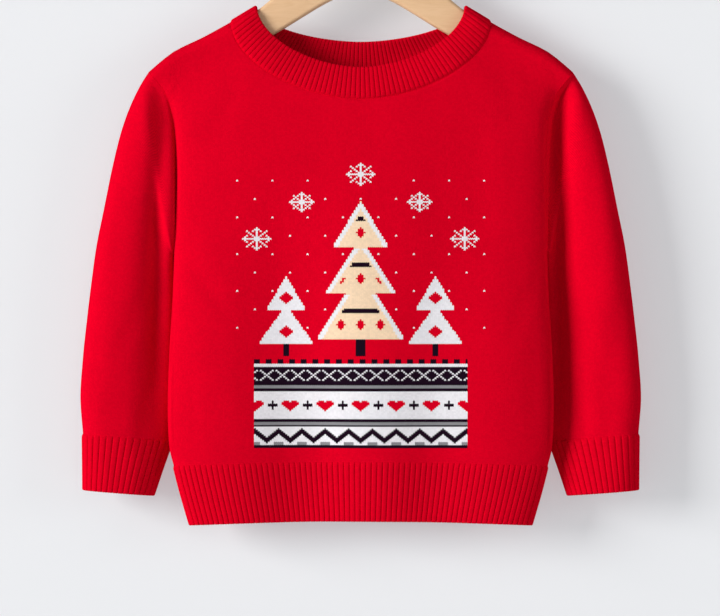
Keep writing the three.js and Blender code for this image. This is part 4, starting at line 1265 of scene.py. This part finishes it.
def board_mesh():
    """The hanger's wood: its outline with a quarter round along both edges."""
    outline = board_outline()
    along = np.roll(outline, -1, 0) - np.roll(outline, 1, 0)
    inward = np.stack([along[:, 1], -along[:, 0]], 1)
    inward /= np.linalg.norm(inward, axis=1, keepdims=True)
    rings = []
    for end in (-1, 1):
        turns = np.linspace(0, math.pi / 2, 7)
        for turn in turns[::-1] if end < 0 else turns:
            ring = outline + inward * BOARD_ROUND * (1 - math.cos(turn))
            depth = end * (BOARD / 2 - BOARD_ROUND + BOARD_ROUND * math.sin(turn))
            rings.append(np.stack([ring[:, 0], np.full(len(ring), depth), ring[:, 1]], 1))
    count = len(outline)
    faces = tube_faces(len(rings), count)
    half = count // 2  # the outline's upper middle is its point 0, and its lower middle is this one
    for first in (0, (len(rings) - 1) * count):
        for i in range((half - 1) // 2 + 1):
            quad = (i, i + 1, half - 1 - i, half - i)
            faces.append(tuple(first + k for k in quad))
            faces.append(tuple(first + (count - k) % count for k in quad))
    mesh = new_mesh("hanger_wood", np.concatenate(rings), faces)
    tidy_faces(mesh)
    return mesh


def tidy_faces(mesh):
    """Splits big faces, turns all of them outwards and shades the mesh smooth but for its flats."""
    shape = bmesh.new()
    shape.from_mesh(mesh)
    big = [face for face in shape.faces if len(face.verts) > 4]
    bmesh.ops.triangulate(shape, faces=big)
    bmesh.ops.recalc_face_normals(shape, faces=shape.faces)
    shape.to_mesh(mesh)
    shape.free()
    mesh.shade_smooth()
    mesh.set_sharp_from_angle(angle=HARD_EDGE)


def hook_line():
    """The middle of the wire, x and z: out of the wood, round the swan's neck and round the crook."""
    crook_z = WIRE_R - HOOK_R
    bend_z = crook_z - math.sqrt(HOOK_R**2 + 2 * HOOK_R * SWAN_R)
    meet = math.atan2(crook_z - bend_z, -SWAN_R)
    foot_z = COLLAR_TIP_Z - HANGER_UPPER[0][1] - SHANK_IN_WOOD
    shank = [(0, z) for z in np.linspace(foot_z, bend_z, 12, endpoint=False)]
    arc = lambda x, z, r, turns: [(x + r * math.cos(a), z + r * math.sin(a)) for a in turns]
    swan = arc(SWAN_R, bend_z, SWAN_R, np.linspace(math.pi, meet, 14, endpoint=False))
    tip = HOOK_TIP - WIRE_R / HOOK_R
    crook = arc(0, crook_z, HOOK_R, np.linspace(meet - math.pi, tip, 72))
    return np.array(shank + swan + crook)


def hook_mesh():
    """The hook's wire, with a domed tip."""
    sides = 24
    line = hook_line()
    along = np.gradient(line, axis=0)
    along /= np.linalg.norm(along, axis=1, keepdims=True)
    dome = np.radians((18, 36, 54, 70, 82))
    centres = np.concatenate([line, line[-1] + along[-1] * WIRE_R * np.sin(dome)[:, None]])
    ways = np.concatenate([along, np.repeat(along[-1:], len(dome), 0)])
    radii = np.concatenate([np.full(len(line), WIRE_R), WIRE_R * np.cos(dome)])
    turns = np.arange(sides) / sides * 2 * math.pi
    beside = np.stack([-ways[:, 1], np.zeros(len(ways)), ways[:, 0]], 1)
    middle = np.stack([centres[:, 0], np.zeros(len(centres)), centres[:, 1]], 1)
    ring = beside[:, None] * np.cos(turns)[:, None] + np.array([0, 1, 0]) * np.sin(turns)[:, None]
    rings = middle[:, None] + ring * radii[:, None, None]
    last = (len(rings) - 1) * sides
    faces = [tuple(range(sides)), *tube_faces(len(rings), sides), tuple(range(last, last + sides))]
    mesh = new_mesh("hook_wire", rings.reshape(-1, 3), faces)
    tidy_faces(mesh)
    return mesh


def make_garment():
    """All the pieces of cloth and their seams, riding on the model's one body."""
    shared = {"stitches": knit_stitches(), "yarn": yarn()}
    plain = knit_material("red_plain_knit", RED, shared)
    charted = knit_material("red_charted_knit", RED, shared, chart=chest_chart())
    ribbed = knit_material("red_ribbed_knit", RIB_RED, shared, strength=0.5)
    seam_yarn = seam_material(shared)
    sheets = make_sheets()
    pieces = {}
    for name, sheet in sheets.items():
        look = charted if name == "front_panel" else plain if sheet.places is None else ribbed
        pieces[name] = put(f"{name}_cloth", sheet.mesh(), look)
        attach(pieces[name], "root")
        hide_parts(name)
    stitches = stitch_tree()
    for name, lines in seam_lines(sheets).items():
        pieces[name] = seam_piece(name, lines, stitches, seam_yarn)
        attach(pieces[name], "root")
    for name, sheet in sheets.items():
        size, area = sheet.flat()


def make_hanger():
    """The wooden board and its hook, riding on the model's one body."""
    board = put("hanger_board_wood", board_mesh(), wood_material())
    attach(board, "root")
    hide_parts("hanger_board")
    hook = put("hanger_hook_wire", hook_mesh(), steel_material())
    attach(hook, "root")
    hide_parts("hanger_hook")


def plane(name, corners, material):
    """A flat stage piece, its face towards the side from which the corners run anticlockwise."""
    thing = put(name, new_mesh(name, corners, [(0, 1, 2, 3)]), material)
    return thing


def wall_material():
    """White wall paint that also glows evenly by itself, a painted light that keeps the garment's shadows
    on it pale; it is clear when it is seen from behind.
    """
    paint, tree, shader = new_material("wall_paint")
    values = {"Base Color": (*WALL_PAINT, 1), "Roughness": 0.9, "Specular IOR Level": 0.1}
    # painted light: the wall glows by itself, so the shadows cast on it stay pale
    fix(shader, {**values, "Emission Color": (*WALL_GLOW, 1), "Emission Strength": 1.0})
    rough = noise(tree, object_place(tree), 400.0, 2.0)
    wire(tree, bumped(tree, rough, 0.05, 0.2), shader.inputs["Normal"])
    clear = tree.nodes.new("ShaderNodeBsdfTransparent")
    behind = tree.nodes.new("ShaderNodeNewGeometry").outputs["Backfacing"]
    both = tree.nodes.new("ShaderNodeMixShader")
    output = next(node for node in tree.nodes if node.type == "OUTPUT_MATERIAL")
    for start, end in zip((behind, shader.outputs[0], clear.outputs[0]), both.inputs):
        tree.links.new(start, end)
    tree.links.new(both.outputs[0], output.inputs[0])
    return paint


def make_stage():
    """A white wall close behind the garment, unseen from behind, and a pale floor far below it."""
    foot = [(side * WALL_REACH, WALL_Y, FLOOR_Z) for side in (-1, 1)]
    head = [(side * WALL_REACH, WALL_Y, WALL_TOP) for side in (1, -1)]
    screen = plane("wall", foot + head, wall_material())
    screen.visible_shadow = False
    screen.visible_diffuse = False
    paint, _, shader = new_material("floor_paint")
    fix(shader, {"Base Color": (*FLOOR_PAINT, 1), "Roughness": 0.8})
    turns = ((-1, -1), (1, -1), (1, 1), (-1, 1))
    plane("floor", [(x * FLOOR_REACH, y * FLOOR_REACH, FLOOR_Z) for x, y in turns], paint)


def softbox(name, place, aim, size, level):
    """A square light, as strong as its level asks for at the point that it aims at."""
    light = bpy.data.lights.new(name, "AREA")
    light.size = size
    away = Vector(place) - Vector(aim)
    light.energy = level * math.pi**2 * away.length_squared
    thing = bpy.data.objects.new(name, light)
    bpy.context.scene.collection.objects.link(thing)
    thing.location = place
    thing.rotation_euler = away.to_track_quat("Z", "Y").to_euler()


def make_light():
    """Daylight from the left, weak light from the front, the right and behind, and a pale room."""
    for name, (place, size, level) in LIGHTS.items():
        softbox(name, place, (0, 0, VIEW_CENTRE[1] * MM), size, level)
    world = bpy.data.worlds.new("pale_room")
    world.use_nodes = True
    air = world.node_tree.nodes["Background"].inputs
    air[0].default_value = (0.97, 0.985, 1.0, 1)
    air[1].default_value = ROOM_LEVEL
    bpy.context.scene.world = world
    bpy.context.scene.view_settings.view_transform = "Standard"


def make_camera():
    """The photograph's view, square on to the front."""
    camera = bpy.data.cameras.new("camera")
    camera.sensor_width = 36.0
    camera.lens = camera.sensor_width * VIEW_DISTANCE / (IMAGE[0] * PIXEL)
    thing = bpy.data.objects.new("camera", camera)
    bpy.context.scene.collection.objects.link(thing)
    thing.location = (VIEW_CENTRE[0] * MM, -VIEW_DISTANCE * MM, VIEW_CENTRE[1] * MM)
    thing.rotation_euler = (math.pi / 2, 0, 0)
    bpy.context.scene.camera = thing


make_camera()
make_hanger()
make_garment()
make_stage()
make_light()
